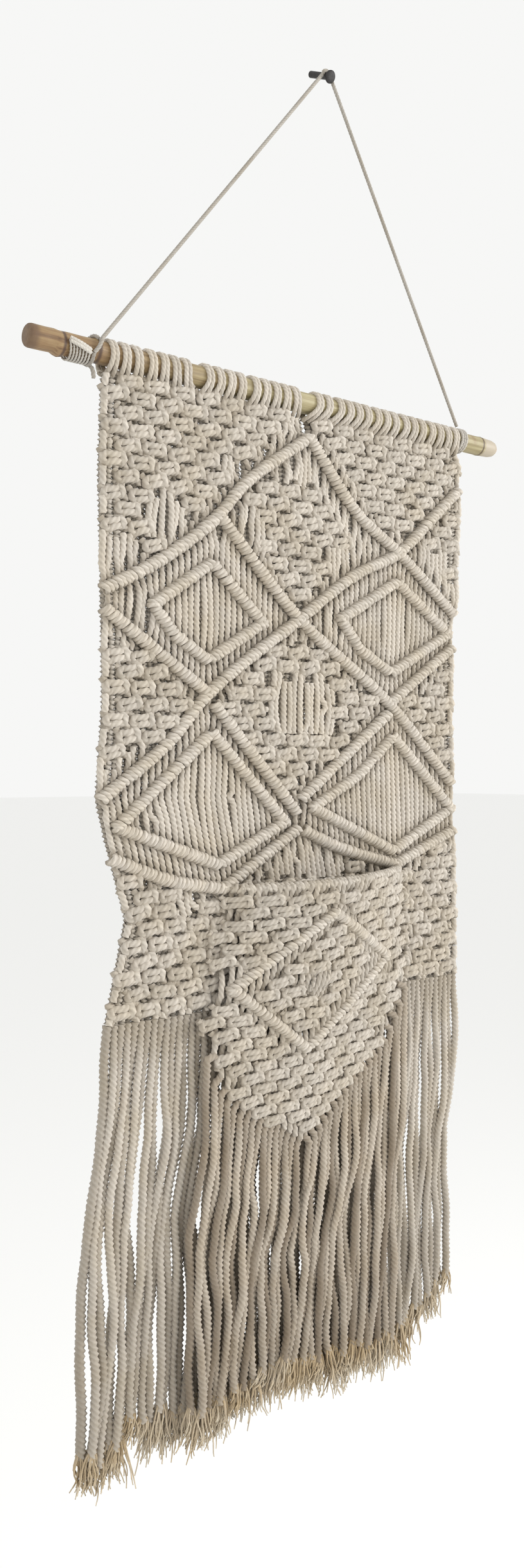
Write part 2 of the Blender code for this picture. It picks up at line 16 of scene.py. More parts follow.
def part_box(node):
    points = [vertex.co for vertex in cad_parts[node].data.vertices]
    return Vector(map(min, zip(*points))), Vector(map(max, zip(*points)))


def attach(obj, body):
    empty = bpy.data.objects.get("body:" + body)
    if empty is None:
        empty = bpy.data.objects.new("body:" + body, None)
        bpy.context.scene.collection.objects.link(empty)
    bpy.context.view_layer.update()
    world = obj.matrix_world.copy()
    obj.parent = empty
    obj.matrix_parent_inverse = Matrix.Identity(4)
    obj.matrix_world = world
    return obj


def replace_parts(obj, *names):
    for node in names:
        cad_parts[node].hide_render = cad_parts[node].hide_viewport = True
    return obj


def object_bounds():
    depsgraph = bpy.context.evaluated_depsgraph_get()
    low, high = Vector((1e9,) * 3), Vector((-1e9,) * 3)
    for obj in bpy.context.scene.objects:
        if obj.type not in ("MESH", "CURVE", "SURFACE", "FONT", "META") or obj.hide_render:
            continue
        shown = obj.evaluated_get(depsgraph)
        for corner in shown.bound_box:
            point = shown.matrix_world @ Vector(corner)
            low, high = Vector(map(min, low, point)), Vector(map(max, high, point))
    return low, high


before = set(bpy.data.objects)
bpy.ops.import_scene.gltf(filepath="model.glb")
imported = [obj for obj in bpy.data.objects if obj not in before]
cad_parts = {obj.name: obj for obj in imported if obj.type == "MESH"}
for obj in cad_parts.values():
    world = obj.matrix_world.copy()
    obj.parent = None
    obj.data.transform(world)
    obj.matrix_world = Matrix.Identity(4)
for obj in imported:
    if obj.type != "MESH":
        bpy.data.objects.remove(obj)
cad_low, cad_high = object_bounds()
scene = bpy.context.scene
scene.view_settings.view_transform = "Standard"

# Camera: it stands to the left of the cloth at about its middle height and looks level towards the wall. Its
# frame is moved down a little instead of the camera being tilted, so upright lines stay upright.
CAMERA_PLACE = (-0.5802, -0.6535, -0.4855)
CAMERA_YAW = math.radians(-39.4)
camera_data = bpy.data.cameras.new("camera")
camera_data.sensor_width = 36.0
camera_data.lens = 28.75
camera_data.shift_y = -0.0086
camera_data.clip_start = 0.01
camera = bpy.data.objects.new("camera", camera_data)
camera.location = CAMERA_PLACE
camera.rotation_euler = (math.radians(90.0), 0.0, CAMERA_YAW)
scene.collection.objects.link(camera)
scene.camera = camera

# Light: one broad soft source on the right, a little higher than the nail, and a weaker and broader one on
# the left. An even pale surround fills the shadows between the cords.
ROOM_COLOR = (0.93, 0.93, 0.92)
world = bpy.data.worlds.new("room")
world.use_nodes = True
world.node_tree.nodes["Background"].inputs["Color"].default_value = (*ROOM_COLOR, 1.0)
world.node_tree.nodes["Background"].inputs["Strength"].default_value = 1.0
scene.world = world
for light_name, light_place, light_size, light_power in (
    ("key", (1.50, -1.35, 0.10), 0.9, 27.0),
    ("fill", (-1.60, -1.50, 0.10), 1.8, 9.0),
):
    light_data = bpy.data.lights.new(light_name, "AREA")
    light_data.size = light_size
    light_data.energy = light_power
    light = bpy.data.objects.new(light_name, light_data)
    light.location = light_place
    aim = Vector((0.0, 0.0, -0.45)) - Vector(light_place)
    light.rotation_euler = aim.to_track_quat("-Z", "Y").to_euler()
    scene.collection.objects.link(light)


# Floor: a plain pale plane that lies well below the fringe. It belongs to the room and not to the hanging,
# and it stands in for no solid.
def node_finish(name, values):
    """A material with these values on its Principled shader, and its node tree."""
    made = bpy.data.materials.new(name)
    made.use_nodes = True
    for key, value in values.items():
        made.node_tree.nodes["Principled BSDF"].inputs[key].default_value = value
    return made, made.node_tree


FLOOR_DOWN = 0.55
bm = bmesh.new()
bmesh.ops.create_grid(bm, x_segments=1, y_segments=1, size=40.0)
bmesh.ops.translate(bm, verts=bm.verts, vec=(0.0, 0.0, cad_low.z - FLOOR_DOWN))
floor_mesh = bpy.data.meshes.new("floor")
bm.to_mesh(floor_mesh)
bm.free()
floor_finish = node_finish("pale_floor", {"Base Color": (*ROOM_COLOR, 1.0), "Roughness": 0.9})[0]
floor_mesh.materials.append(floor_finish)
floor = bpy.data.objects.new("floor", floor_mesh)
scene.collection.objects.link(floor)


# Nail: a black wire nail driven into the wall at a slope. Its shank is cut flush at the wall, and the thin
# cord rests on it behind the head.
def piece(name, mesh, finish):
    """An object of the hanging, on the row's one body, in its finish and material slot."""
    mesh.name = name
    mesh.materials.clear()
    mesh.materials.append(finish)
    made = bpy.data.objects.new(name, mesh)
    scene.collection.objects.link(made)
    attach(made, "root")
    return made


def turned(name, sections, side, up, sides, finish):
    """A closed bar through circles of (center, radius), with its ends filled."""
    bm = bmesh.new()
    loops = []
    basis = Matrix((side, up, side.cross(up))).transposed().to_4x4()
    for center, radius in sections:
        ring = bmesh.ops.create_circle(bm, segments=sides, radius=radius)["verts"]
        bmesh.ops.transform(bm, matrix=Matrix.Translation(center) @ basis, verts=ring)
        loops.append([edge for edge in bm.edges if edge.verts[0] in ring and edge.verts[1] in ring])
    for first, second in zip(loops, loops[1:]):
        bmesh.ops.bridge_loops(bm, edges=first + second)
    for end in (loops[0], loops[-1]):
        bmesh.ops.edgeloop_fill(bm, edges=end)
    bmesh.ops.recalc_face_normals(bm, faces=bm.faces)
    mesh = bpy.data.meshes.new(name)
    bm.to_mesh(mesh)
    bm.free()
    mesh.shade_smooth()
    mesh.set_sharp_from_angle(angle=math.radians(50.0))
    return piece(name, mesh, finish)


def add_node(tree, kind, inputs=(), out=0, **settings):
    """An output of a new node. Each input is linked if it is handed a socket, and else set to a value."""
    made = tree.nodes.new(kind)
    for key, value in settings.items():
        setattr(made, key, value)
    for key, value in dict(inputs).items():
        if isinstance(value, bpy.types.NodeSocket):
            tree.links.new(value, made.inputs[key])
        else:
            made.inputs[key].default_value = value
    return made.outputs[out]


def noise(tree, coordinate, scale, detail, roughness=0.5):
    inputs = {"Vector": coordinate, "Scale": scale, "Detail": detail, "Roughness": roughness}
    return add_node(tree, "ShaderNodeTexNoise", inputs)


def ramp(tree, value, colors):
    """A colour that changes with a value, through (position, colour) rows."""
    made = add_node(tree, "ShaderNodeValToRGB", {"Fac": value})
    elements = made.node.color_ramp.elements
    for element, (position, color) in zip(elements, (colors[0], colors[-1])):
        element.position = position
        element.color = (*color, 1.0)
    for position, color in colors[1:-1]:
        elements.new(position).color = (*color, 1.0)
    return made


def color_and_bump(tree, color, height, strength, distance):
    """Joins a colour and a fine relief to a material's Principled shader."""
    bump = add_node(tree, "ShaderNodeBump", {"Height": height, "Strength": strength, "Distance": distance})
    shader = tree.nodes["Principled BSDF"]
    tree.links.new(color, shader.inputs["Base Color"])
    tree.links.new(bump, shader.inputs["Normal"])


NAIL_SIDES = 28
NAIL_REACH = Vector((0.0014, -0.0193, -0.0095))
NAIL_RADIUS = 0.00225
NAIL_HEAD_RADIUS = 0.0042
NAIL_HEAD_HALF = 0.0009
# Sections of the neck and head: distance past the middle of the head, radius.
NAIL_HEAD_SECTIONS = (
    (-NAIL_HEAD_HALF - 0.0012, NAIL_RADIUS),
    (-NAIL_HEAD_HALF - 0.0004, 1.25 * NAIL_RADIUS),
    (-NAIL_HEAD_HALF, 0.92 * NAIL_HEAD_RADIUS),
    (-0.6 * NAIL_HEAD_HALF, NAIL_HEAD_RADIUS),
    (0.4 * NAIL_HEAD_HALF, NAIL_HEAD_RADIUS),
    (NAIL_HEAD_HALF, 0.86 * NAIL_HEAD_RADIUS),
    (1.15 * NAIL_HEAD_HALF, 0.40 * NAIL_HEAD_RADIUS),
)

iron, tree = node_finish("blackened_iron", {"Roughness": 0.6, "Metallic": 0.2})
scale_noise = noise(tree, add_node(tree, "ShaderNodeTexCoord", out="Object"), 900.0, 4.0)
iron_color = ramp(tree, scale_noise, ((0.0, (0.006, 0.006, 0.007)), (1.0, (0.045, 0.040, 0.038))))
color_and_bump(tree, iron_color, scale_noise, 0.3, 0.0002)

nail_axis = NAIL_REACH.normalized()
nail_side = Vector((0.0, 0.0, 1.0)).cross(nail_axis).normalized()
nail_sections = [(nail_axis * 0.0008, NAIL_RADIUS)]
nail_sections += [(NAIL_REACH + nail_axis * past, radius) for past, radius in NAIL_HEAD_SECTIONS]
nail_up = nail_axis.cross(nail_side)
nail = turned("driven_nail", nail_sections, nail_side, nail_up, NAIL_SIDES, iron)
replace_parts(nail, "nail")


# Thin cord: a grey-beige three-strand cotton cord of 2.5 mm. It starts beside its hitch on the left, crosses
# the front of the stick, goes up over the nail and down to its hitch on the right.
def new_group(name, tree_type, inputs, outputs):
    """An empty node group, with the sockets that its nodes take from and give to."""
    group = bpy.data.node_groups.new(name, tree_type)
    for in_out, sockets in (("INPUT", inputs), ("OUTPUT", outputs)):
        for socket_name, kind in sockets.items():
            group.interface.new_socket(socket_name, in_out=in_out, socket_type="NodeSocket" + kind)
    given = group.nodes.new("NodeGroupInput").outputs
    return group, given, group.nodes.new("NodeGroupOutput").inputs


def rope_maker():
    """A node group that lays a three-strand rope along every line of a mesh of lines."""
    inputs = {"Geometry": "Geometry", "Radius": "Float", "Lay": "Float", "Step": "Float"}
    inputs.update({"Groove Depth": "Float", "Lobe Points": "Int"})
    group, given, result = new_group("lay_rope", "GeometryNodeTree", inputs, {"Geometry": "Geometry"})

    def add(kind, inputs=(), out=0, **settings):
        return add_node(group, kind, inputs, out, **settings)

    def calculated(operation, first, second):
        return add("ShaderNodeMath", {0: first, 1: second}, operation=operation)

    def named(attribute):
        return add("GeometryNodeInputNamedAttribute", {"Name": attribute}, "Attribute", data_type="FLOAT")

    line = add("GeometryNodeMeshToCurve", {"Mesh": given["Geometry"]})
    line = add("GeometryNodeCurveSplineType", {"Curve": line}, spline_type="CATMULL_ROM")
    line = add("GeometryNodeResampleCurve", {"Curve": line, "Length": given["Step"]}, mode="LENGTH")
    length = add("GeometryNodeSplineParameter", out="Length")
    turns = calculated("ADD", calculated("DIVIDE", length, given["Lay"]), named("turn"))
    line = add("GeometryNodeSetCurveTilt", {"Curve": line, "Tilt": calculated("MULTIPLY", turns, math.tau)})

    # The rope's outline has one point in every few drawn in, which leaves a groove between its strands.
    ring_points = calculated("MULTIPLY", given["Lobe Points"], 3)
    ring = add("GeometryNodeCurvePrimitiveCircle", {"Resolution": ring_points, "Radius": given["Radius"]})
    point_in_lobe = calculated("MODULO", add("GeometryNodeInputIndex"), given["Lobe Points"])
    groove = calculated("LESS_THAN", point_in_lobe, 0.5)
    pinch = calculated("SUBTRACT", 1.0, calculated("MULTIPLY", groove, given["Groove Depth"]))
    position = add("GeometryNodeInputPosition")
    lobed = add("ShaderNodeVectorMath", {0: position, "Scale": pinch}, operation="SCALE")
    ring = add("GeometryNodeSetPosition", {"Geometry": ring, "Position": lobed})
    # The groove points are marked, so that the cotton can paint shade into them.
    marks = {"Geometry": ring, "Name": "groove", "Value": groove}
    ring = add("GeometryNodeStoreNamedAttribute", marks, data_type="FLOAT", domain="POINT")

    swept = {"Curve": line, "Profile Curve": ring, "Fill Caps": True, "Scale": named("size")}
    rope = add("GeometryNodeSetShadeSmooth", {"Geometry": add("GeometryNodeCurveToMesh", swept)})
    group.links.new(rope, result["Geometry"])
    return group


ROPE_MAKER = rope_maker()
rope_inputs = {}
for item in ROPE_MAKER.interface.items_tree:
    if item.in_out == "INPUT":
        rope_inputs[item.name] = item.identifier
chance = random.Random(12)


def ropes(name, routes, radius, lay, step, finish, slot, lobe_points=2, depth=0.20):
    """One mesh of ropes, each along a route of (position, size, lift) rows; lift 0 is the darkest painted
    shade, in the deepest places.
    """
    mesh = bpy.data.meshes.new(name + "_lines")
    points = []
    edges = []
    values = {"size": [], "lift": [], "turn": [], "tone": []}
    for route in routes:
        turn = chance.random()
        tone = chance.random()
        for number, (position, size, lift) in enumerate(route):
            if number:
                edges.append((len(points) - 1, len(points)))
            points.append(position)
            for key, value in (("size", size), ("lift", lift), ("turn", turn), ("tone", tone)):
                values[key].append(value)
    mesh.from_pydata(points, edges, [])
    for key, numbers in values.items():
        mesh.attributes.new(key, "FLOAT", "POINT").data.foreach_set("value", numbers)
    lines = bpy.data.objects.new(name + "_lines", mesh)
    scene.collection.objects.link(lines)
    laying = lines.modifiers.new("rope", "NODES")
    laying.node_group = ROPE_MAKER
    settings = {"Radius": radius, "Lay": lay, "Step": step, "Groove Depth": depth, "Lobe Points": lobe_points}
    for key, value in settings.items():
        laying[rope_inputs[key]] = value
    depsgraph = bpy.context.evaluated_depsgraph_get()
    laid = bpy.data.meshes.new_from_object(lines.evaluated_get(depsgraph), depsgraph=depsgraph)
    bpy.data.objects.remove(lines, do_unlink=True)
    bpy.data.meshes.remove(mesh)
    return piece(name, laid, finish)


def ranged(tree, value, low, high, low_to=0.0, high_to=1.0):
    """A value brought from one range into another."""
    inputs = {"Value": value, "From Min": low, "From Max": high, "To Min": low_to, "To Max": high_to}
    return add_node(tree, "ShaderNodeMapRange", inputs)


def mixed(tree, share, first, second, blend="MIX"):
    inputs = {0: share, 6: first, 7: second}
    return add_node(tree, "ShaderNodeMix", inputs, 2, data_type="RGBA", blend_type=blend)


def shade_between(tree, color, value, low, high):
    """A colour made from low to high times as bright as a value runs from 0 to 1."""
    level = ranged(tree, value, 0.0, 1.0, low, high)
    grey = add_node(tree, "ShaderNodeCombineColor", {0: level, 1: level, 2: level})
    return mixed(tree, 1.0, color, grey, "MULTIPLY")


def cotton_group():
    """Colour and height of twisted cotton, with painted shade: browner where it lies deeper, darker in the
    grooves of its lay.
    """
    inputs = {"Cord": "Color", "Painted Shade": "Color", "Warm": "Color", "Groove Shade": "Float"}
    outputs = {"Color": "Color", "Height": "Float"}
    group, given, result = new_group("twisted_cotton", "ShaderNodeTree", inputs, outputs)
    coordinate = add_node(group, "ShaderNodeTexCoord", out="Object")

    def value_of(attribute):
        return add_node(group, "ShaderNodeAttribute", out="Fac", attribute_name=attribute)

    patches = ranged(group, noise(group, coordinate, 38.0, 3.0), 0.42, 0.62)
    toned = mixed(group, patches, given["Cord"], given["Warm"])
    toned = shade_between(group, toned, value_of("tone"), 0.90, 1.06)
    # Painted shade: the lower the lift, the more of the painted shade colour.
    lifted = mixed(group, ranged(group, value_of("lift"), 0.0, 1.0), given["Painted Shade"], toned)
    # Painted shade in the grooves of the lay.
    grooved = {0: value_of("groove"), 1: given["Groove Shade"]}
    grooved = add_node(group, "ShaderNodeMath", grooved, operation="MULTIPLY")
    shaded = mixed(group, grooved, lifted, given["Painted Shade"])
    speckled = shade_between(group, shaded, noise(group, coordinate, 330.0, 2.0), 0.86, 1.12)
    group.links.new(speckled, result["Color"])
    group.links.new(noise(group, coordinate, 1100.0, 3.0, 0.7), result["Height"])
    return group


COTTON = cotton_group()


# A cotton finish: its own colour, a warmer tone of it, the painted shade colour, and how much shade is
# painted into the grooves of its lay.
def cotton_finish(name, cord, warm, painted_shade, groove_shade):
    look = {"Roughness": 0.93, "Sheen Weight": 0.15, "Sheen Roughness": 0.6, "Specular IOR Level": 0.2}
    made, tree = node_finish(name, look)
    cotton = tree.nodes.new("ShaderNodeGroup")
    cotton.node_tree = COTTON
    for key, color in (("Cord", cord), ("Warm", warm), ("Painted Shade", painted_shade)):
        cotton.inputs[key].default_value = (*color, 1.0)
    cotton.inputs["Groove Shade"].default_value = groove_shade
    color_and_bump(tree, cotton.outputs["Color"], cotton.outputs["Height"], 0.45, 0.0006)
    return made


def in_metres(*rows):
    """Rows of lengths that are given in millimetres."""
    return [tuple(value / 1000 for value in row) for row in rows]


rod_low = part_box("rod")[0]
hitch_low, hitch_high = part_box("right_hitch")
CLOTH_LEFT = rod_low.x + 0.0505
STICK_Y = 0.5 * (hitch_low.y + hitch_high.y)
STICK_Z = 0.5 * (hitch_low.z + hitch_high.z)


def place(across, down, out=0.0):
    """A place on the hanging, out in front of the stick's axis."""
    return Vector((CLOTH_LEFT + across, STICK_Y - out, STICK_Z - down))


NAIL_CORD_AT = 0.82
HANGER_RADIUS = 0.00125
HANGER_ROPE = 0.00135
# The cord's way over the front of the stick, in millimetres: across, down, out.
HANGER_OVER_ROD = in_metres(
    (-10.1, 3.7, 7.9), (-7.5, 0, 9.2), (-5, -5, 8.8), (-2, -8.4, 6),
)
HITCH_OUTER = 0.0098
# Degrees round the nail at which the cord lies on it, from the left side over the top.
NAIL_TURN = (175.0, 150.0, 120.0, 90.0, 60.0, 30.0, 5.0)
RIGHT_HITCH_MIDDLE = 0.3150
# Its third colour is painted shade.
thin_cotton = cotton_finish("thin_cotton", (0.47, 0.44, 0.39), (0.41, 0.37, 0.31), (0.22, 0.18, 0.14), 0.40)


def thin_ropes(name, routes, radius, step, finish, lay=0.0070, **shape):
    """Thin ropes with the lay of the hanging cord."""
    return ropes(name, routes, radius, lay, step, finish, "thin_cotton_cord", **shape)


on_nail = NAIL_REACH * NAIL_CORD_AT
turn_radius = NAIL_RADIUS + HANGER_RADIUS + 0.0002
over_nail = []
for degrees in NAIL_TURN:
    angle = math.radians(degrees)
    over_nail.append(on_nail + Vector((turn_radius * math.cos(angle), 0.0, turn_radius * math.sin(angle))))
hanger_path = [place(*spot) for spot in HANGER_OVER_ROD]
hanger_path += [hanger_path[-1].lerp(over_nail[0], share) for share in (0.15, 0.35, 0.55, 0.75, 0.92)]
hanger_path += over_nail
hanger_end = place(RIGHT_HITCH_MIDDLE, -(HITCH_OUTER + 0.6 * HANGER_RADIUS + 0.0003))
hanger_path += [over_nail[-1].lerp(hanger_end, share) for share in (0.08, 0.25, 0.45, 0.65, 0.85, 1.0)]
routes = [[(point, 1.0, 1.0) for point in hanger_path]]
hanger = thin_ropes("thin_hanging_cord", routes, HANGER_ROPE, 0.0009, thin_cotton, lobe_points=3, depth=0.12)
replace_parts(hanger, "hanging_cord")


# Stick: a peeled branch of 14 mm, tan on the left and greener on the right, with a dark ring and a bump at
# each of its knots, and a pale sawn end with an orange rim on the right.
STICK_SIDES = 40
# Sections of the stick, in millimetres: across, radius, rise of the middle.
STICK_SECTIONS = in_metres(
    (-50.5, 6, 0), (-49.8, 6.7, 0), (-48.5, 7, 0), (-40, 6.9, 0), (-34.5, 6.9, 0.2), (-32, 7.3, -0.6),
    (-30, 7.5, -0.9), (-28, 7.3, -0.6), (-26.2, 6.9, 0), (-16, 6.8, 0), (-8.5, 6.9, 0),
    (-6.5, 7.3, 0.4), (-5, 7.5, 0.7), (-3.5, 7.3, 0.4), (-1.5, 7, 0), (50, 7.1, 0), (110, 7, 0),
    (160, 7, 0), (230, 6.9, 0), (310, 6.9, 0), (334, 6.9, 0), (337, 7, 0), (338.5, 7.2, 0), (340, 7, 0),
    (343, 6.8, 0), (351, 6.4, 0), (354.5, 5.6, 0), (356.2, 4.4, 0), (357, 3, 0), (357.3, 1.2, 0),
)
# Dark rings: across, half width.
STICK_RINGS = ((-0.0290, 0.0016), (-0.0050, 0.0018), (0.3385, 0.0012))

wood, tree = node_finish("peeled_branch", {"Roughness": 0.55, "Coat Weight": 0.12, "Coat Roughness": 0.4})
coordinate = add_node(tree, "ShaderNodeTexCoord", out="Object")
stretched = add_node(tree, "ShaderNodeMapping", {"Vector": coordinate, "Scale": (14.0, 420.0, 420.0)})
streaks = noise(tree, stretched, 1.0, 5.0, 0.6)
across_stick = add_node(tree, "ShaderNodeSeparateXYZ", {"Vector": coordinate}, "X")


def wood_ramp(low, middle, high):
    return ramp(tree, streaks, ((0.32, low), (0.50, middle), (0.66, high)))


def from_to(first, last, most=1.0):
    """A mask that rises from 0 to most between two places along the stick."""
    return ranged(tree, across_stick, CLOTH_LEFT + first, CLOTH_LEFT + last, 0.0, most)


def ring_mask(across, width):
    """A mask of a dark ring round the stick."""
    inputs = {0: across_stick, 1: CLOTH_LEFT + across}
    offset = add_node(tree, "ShaderNodeMath", inputs, operation="SUBTRACT")
    distance = add_node(tree, "ShaderNodeMath", {0: offset}, operation="ABSOLUTE")
    return ranged(tree, distance, width, 0.3 * width, 0.0, 0.85)


left_wood = wood_ramp((0.12, 0.065, 0.028), (0.25, 0.15, 0.068), (0.34, 0.235, 0.115))
right_wood = wood_ramp((0.20, 0.155, 0.07), (0.33, 0.275, 0.145), (0.44, 0.385, 0.225))
wood_color = mixed(tree, from_to(-0.02, 0.12), left_wood, right_wood)
stains = ranged(tree, noise(tree, coordinate, 55.0, 3.0), 0.55, 0.75)
layers = [(stains, (0.20, 0.11, 0.05)), (from_to(-0.0440, -0.0475, 0.80), (0.13, 0.075, 0.040))]
layers += [(ring_mask(*ring), (0.055, 0.025, 0.014)) for ring in STICK_RINGS]
layers += [(from_to(0.3395, 0.3420), (0.43, 0.37, 0.28)), (from_to(0.3545, 0.3560), (0.45, 0.23, 0.08))]
for mask, color in layers:
    wood_color = mixed(tree, mask, wood_color, (*color, 1.0))
color_and_bump(tree, wood_color, streaks, 0.5, 0.0005)

stick_sections = [(place(across, -rise), radius) for across, radius, rise in STICK_SECTIONS]
back = Vector((0.0, 1.0, 0.0))
up = Vector((0.0, 0.0, 1.0))
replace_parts(turned("peeled_stick", stick_sections, back, up, STICK_SIDES, wood), "rod")


# Hitches: the thin cord is tied round the stick. On the left its strands are spread over the stick's front
# and drawn together under it, with a short grey tail; on the right it takes three close turns.
def round_stick(angle, radius, across):
    """A place round the stick; angle 0 is in front and a quarter turn is on top."""
    return place(across, -radius * math.sin(angle), radius * math.cos(angle))


def mix(first, second, share):
    return first + (second - first) * share


def shares(steps):
    """Even shares of a way, from 0 to 1."""
    return [number / steps for number in range(steps + 1)]


# Its third colour is painted shade.
white_yarn = cotton_finish("white_yarn", (0.66, 0.63, 0.57), (0.62, 0.58, 0.51), (0.30, 0.25, 0.20), 0.35)
YARN_RADIUS = 0.00082
# The fan's upper edge from its left to its right end, as (across, down), and across at its two feet.
FAN_START = (-0.0266, -0.0006)
FAN_END = (-0.0128, 0.0038)
FAN_FEET = (-0.0236, -0.0112)
FAN_RADIUS = 0.0089
FAN_YARNS = 7
FAN_LAST_ANGLE = -235.0
# The yarns that go round the stick and the coils are painted with a touch of shade, and the round turn and
# the tail with a little more.
yarns = []
for share in shares(FAN_YARNS - 1):
    head = mix(FAN_START[0], FAN_END[0], share)
    foot = mix(*FAN_FEET, share)
    first_angle = math.degrees(math.asin(-mix(FAN_START[1], FAN_END[1], share) / FAN_RADIUS))
    route = []
    for part in shares(12):
        angle = math.radians(mix(first_angle, FAN_LAST_ANGLE, part))
        radius = 0.0080 + 0.0006 * math.sin(math.pi * part)
        route.append((round_stick(angle, radius, mix(head, foot, min(2.6 * part, 1.0))), 1.0, 0.9))
    yarns.append(route)
for shift in (-0.0009, 0.0009):
    slanting = []
    for part in shares(8):
        down = FAN_START[1] + shift + part * (FAN_END[1] - FAN_START[1])
        out = 0.0086 + 0.0009 * math.sin(math.pi * part)
        slanting.append((place(mix(FAN_START[0], FAN_END[0], part), down, out), 1.6, 1.0))
    yarns.append(slanting)
left_band = thin_ropes("left_band", yarns, YARN_RADIUS, 0.0010, white_yarn, lay=0.0060)
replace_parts(left_band, "left_hitch")
# From the fan the cord goes once round the stick, and its cut end hangs down beside the cloth.
TAIL = in_metres((-8.5, 8.6, -1), (-7.2, 10.5, 0.4), (-6.4, 13, 0.6), (-6, 15.2, 0.2), (-5.9, 16.3, 0))
TAIL_SIZES = (1.0, 1.1, 1.15, 1.1, 0.9)
LEFT_TURN_RADIUS = 0.0086
round_turn = []
for part in shares(14):
    angle = math.radians(-24.0 - part * 290.0)
    round_turn.append((round_stick(angle, LEFT_TURN_RADIUS, -0.0101 + 0.0040 * part), 1.0, 0.8))
tail = [(place(*spot), size, 0.8) for spot, size in zip(TAIL, TAIL_SIZES)]
thin_ropes("left_tail", [round_turn, tail], HANGER_ROPE, 0.0010, thin_cotton)
RIGHT_TURNS = (0.3127, RIGHT_HITCH_MIDDLE, 0.3173)
COIL_RADIUS = 0.0083
coils = []
for across in RIGHT_TURNS:
    route = []
    for part in shares(16):
        angle = math.tau * part
        route.append((round_stick(angle, COIL_RADIUS, across + 0.0006 * math.sin(angle)), 1.0, 0.9))
    coils.append(route)
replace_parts(thin_ropes("right_turns", coils, HANGER_RADIUS, 0.0010, white_yarn), "right_hitch")


# Larks' heads: 32 cords are each doubled over the stick, so two strands lie side by side down its front and
# the bight lies behind. Bare stick shows between one head and the next.
# Its third colour is painted shade.
cotton = cotton_finish("cotton_rope", (0.66, 0.605, 0.53), (0.605, 0.54, 0.445), (0.19, 0.15, 0.10), 0.36)
# The length in which the cloth's rope turns once. Its sign says which way it turns.
COTTON_LAY = -0.0110
CORD_COUNT = 64
HEAD_COUNT = 32
HEAD_WIDTH = 0.0087
HEAD_STRAND = 0.00165
HEAD_SPREAD = 0.84
HEAD_FOOT = 0.0128
HEAD_GAPS = {3: 0.0018, 7: 0.0088, 11: 0.0032, 16: 0.0118, 18: 0.0024, 22: 0.0014, 25: 0.0018, 28: 0.0014}
# Edges of the cloth, in millimetres: down, left, right.
CLOTH_EDGES = in_metres(
    (8.6, -0.5, 308.5), (18, -2, 316), (72, -3.8, 315), (136, -2, 310), (209.6, -1, 306),
    (267, -5.5, 309.5), (292, 1, 309), (340, 15.5, 311), (403, 1, 312),
)
# A strand over the stick: degrees round it from the front, distance from its axis, share of the way from its
# head to its place in the cloth.
HEAD_STATIONS = (
    (-84.0, 0.0128, 1.00), (-66.0, 0.0110, 0.65), (-45.0, 0.0093, 0.25), (-20.0, 0.0082, 0.00),
    (10.0, 0.0078, 0.00), (45.0, 0.0077, 0.00), (80.0, 0.0077, 0.00), (115.0, 0.0078, 0.00),
    (150.0, 0.0085, 0.00), (185.0, 0.0095, 0.10), (215.0, 0.0102, 0.40), (240.0, 0.0110, 0.80),
)


def smooth_step(value, low, high):
    share = min(max((value - low) / (high - low), 0.0), 1.0)
    return share * share * (3 - 2 * share)


def interpolate(rows, key, column=1):
    """The value of a column at a key between the rows of a table."""
    if key <= rows[0][0]:
        return rows[0][column]
    for low, high in zip(rows, rows[1:]):
        if key <= high[0]:
            return mix(low[column], high[column], (key - low[0]) / (high[0] - low[0]))
    return rows[-1][column]


def between_columns(rows, key, share):
    return mix(interpolate(rows, key, 1), interpolate(rows, key, 2), share)


def cloth_across(cord, down):
    """How far across a cord lies, counted in cords from the left edge."""
    return between_columns(CLOTH_EDGES, down, cord / CORD_COUNT)


def cloth_ropes(name, node, routes, radius, step, lay=COTTON_LAY, finish=cotton, **shape):
    """Cotton ropes of the cloth that take the place of a node."""
    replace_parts(ropes(name, routes, radius, lay, step, finish, "cotton_cord", **shape), node)


heads = []
left = 0.0
for head in range(1, HEAD_COUNT + 1):
    middle = left + 0.5 * HEAD_WIDTH
    lean = chance.uniform(-0.0007, 0.0007)
    for side in (-1, 1):
        cord = 2 * head - 1 + 0.5 * side
        route = []
        for degrees, distance, share in HEAD_STATIONS:
            angle = math.radians(degrees)
            on_head = middle + side * HEAD_SPREAD * HEAD_STRAND + lean * math.sin(angle)
            across = mix(on_head, cloth_across(cord, HEAD_FOOT), share)
            # Painted shade: a strand is painted darker as it turns in under the stick.
            lift = 0.95 - 0.5 * smooth_step(-degrees, 40.0, 84.0)
            route.append((round_stick(angle, distance, across), 1.0, lift))
        heads.append(route)
    bight = []
    for share in shares(4):
        across = middle + (share - 0.5) * 0.62 * HEAD_WIDTH
        # The bight behind the stick is painted half in shade.
        bight.append((place(across, 0.0092 + 0.0014 * math.sin(math.pi * share), -0.0066), 1.0, 0.5))
    heads.append(bight)
    left += HEAD_WIDTH + HEAD_GAPS.get(head, 0.0)
cloth_ropes("larks_heads", "knotted_panel", heads, HEAD_STRAND, 0.0015, lay=-0.0085, depth=0.10)


# Running cords: 64 twisted cotton ropes of 5 mm run down the whole cloth and part round its gaps. In front
# they show between the ridges and are left out under the square knots, and behind a second layer runs on.
CLOTH_TOP = 0.0125
CLOTH_FOOT = 0.4028
RUN_STEP = 0.0035
RUN_CORD = 0.00258
FRONT_OUT = 0.0026
RIDGE_DIP = 0.0022
KNOT_DIP = 0.0012
BACK_IN = 0.0010
HOLE_DIP = 0.0008
HEM_LIFT = 0.0016
HEM_PULL = 0.0014
GAP_REACH = 0.006
SLIT_REACH = 0.004
BAND = 0.0070
CROWN_BAND = 0.0108
CROWN_FOOT = 0.0850
SLANT = 1.20
CROWN_SLANT = 1.90
SLANT_REACH = 0.008
PAIR_PULL = 0.0011
SHARP_BEND = math.radians(45.0)
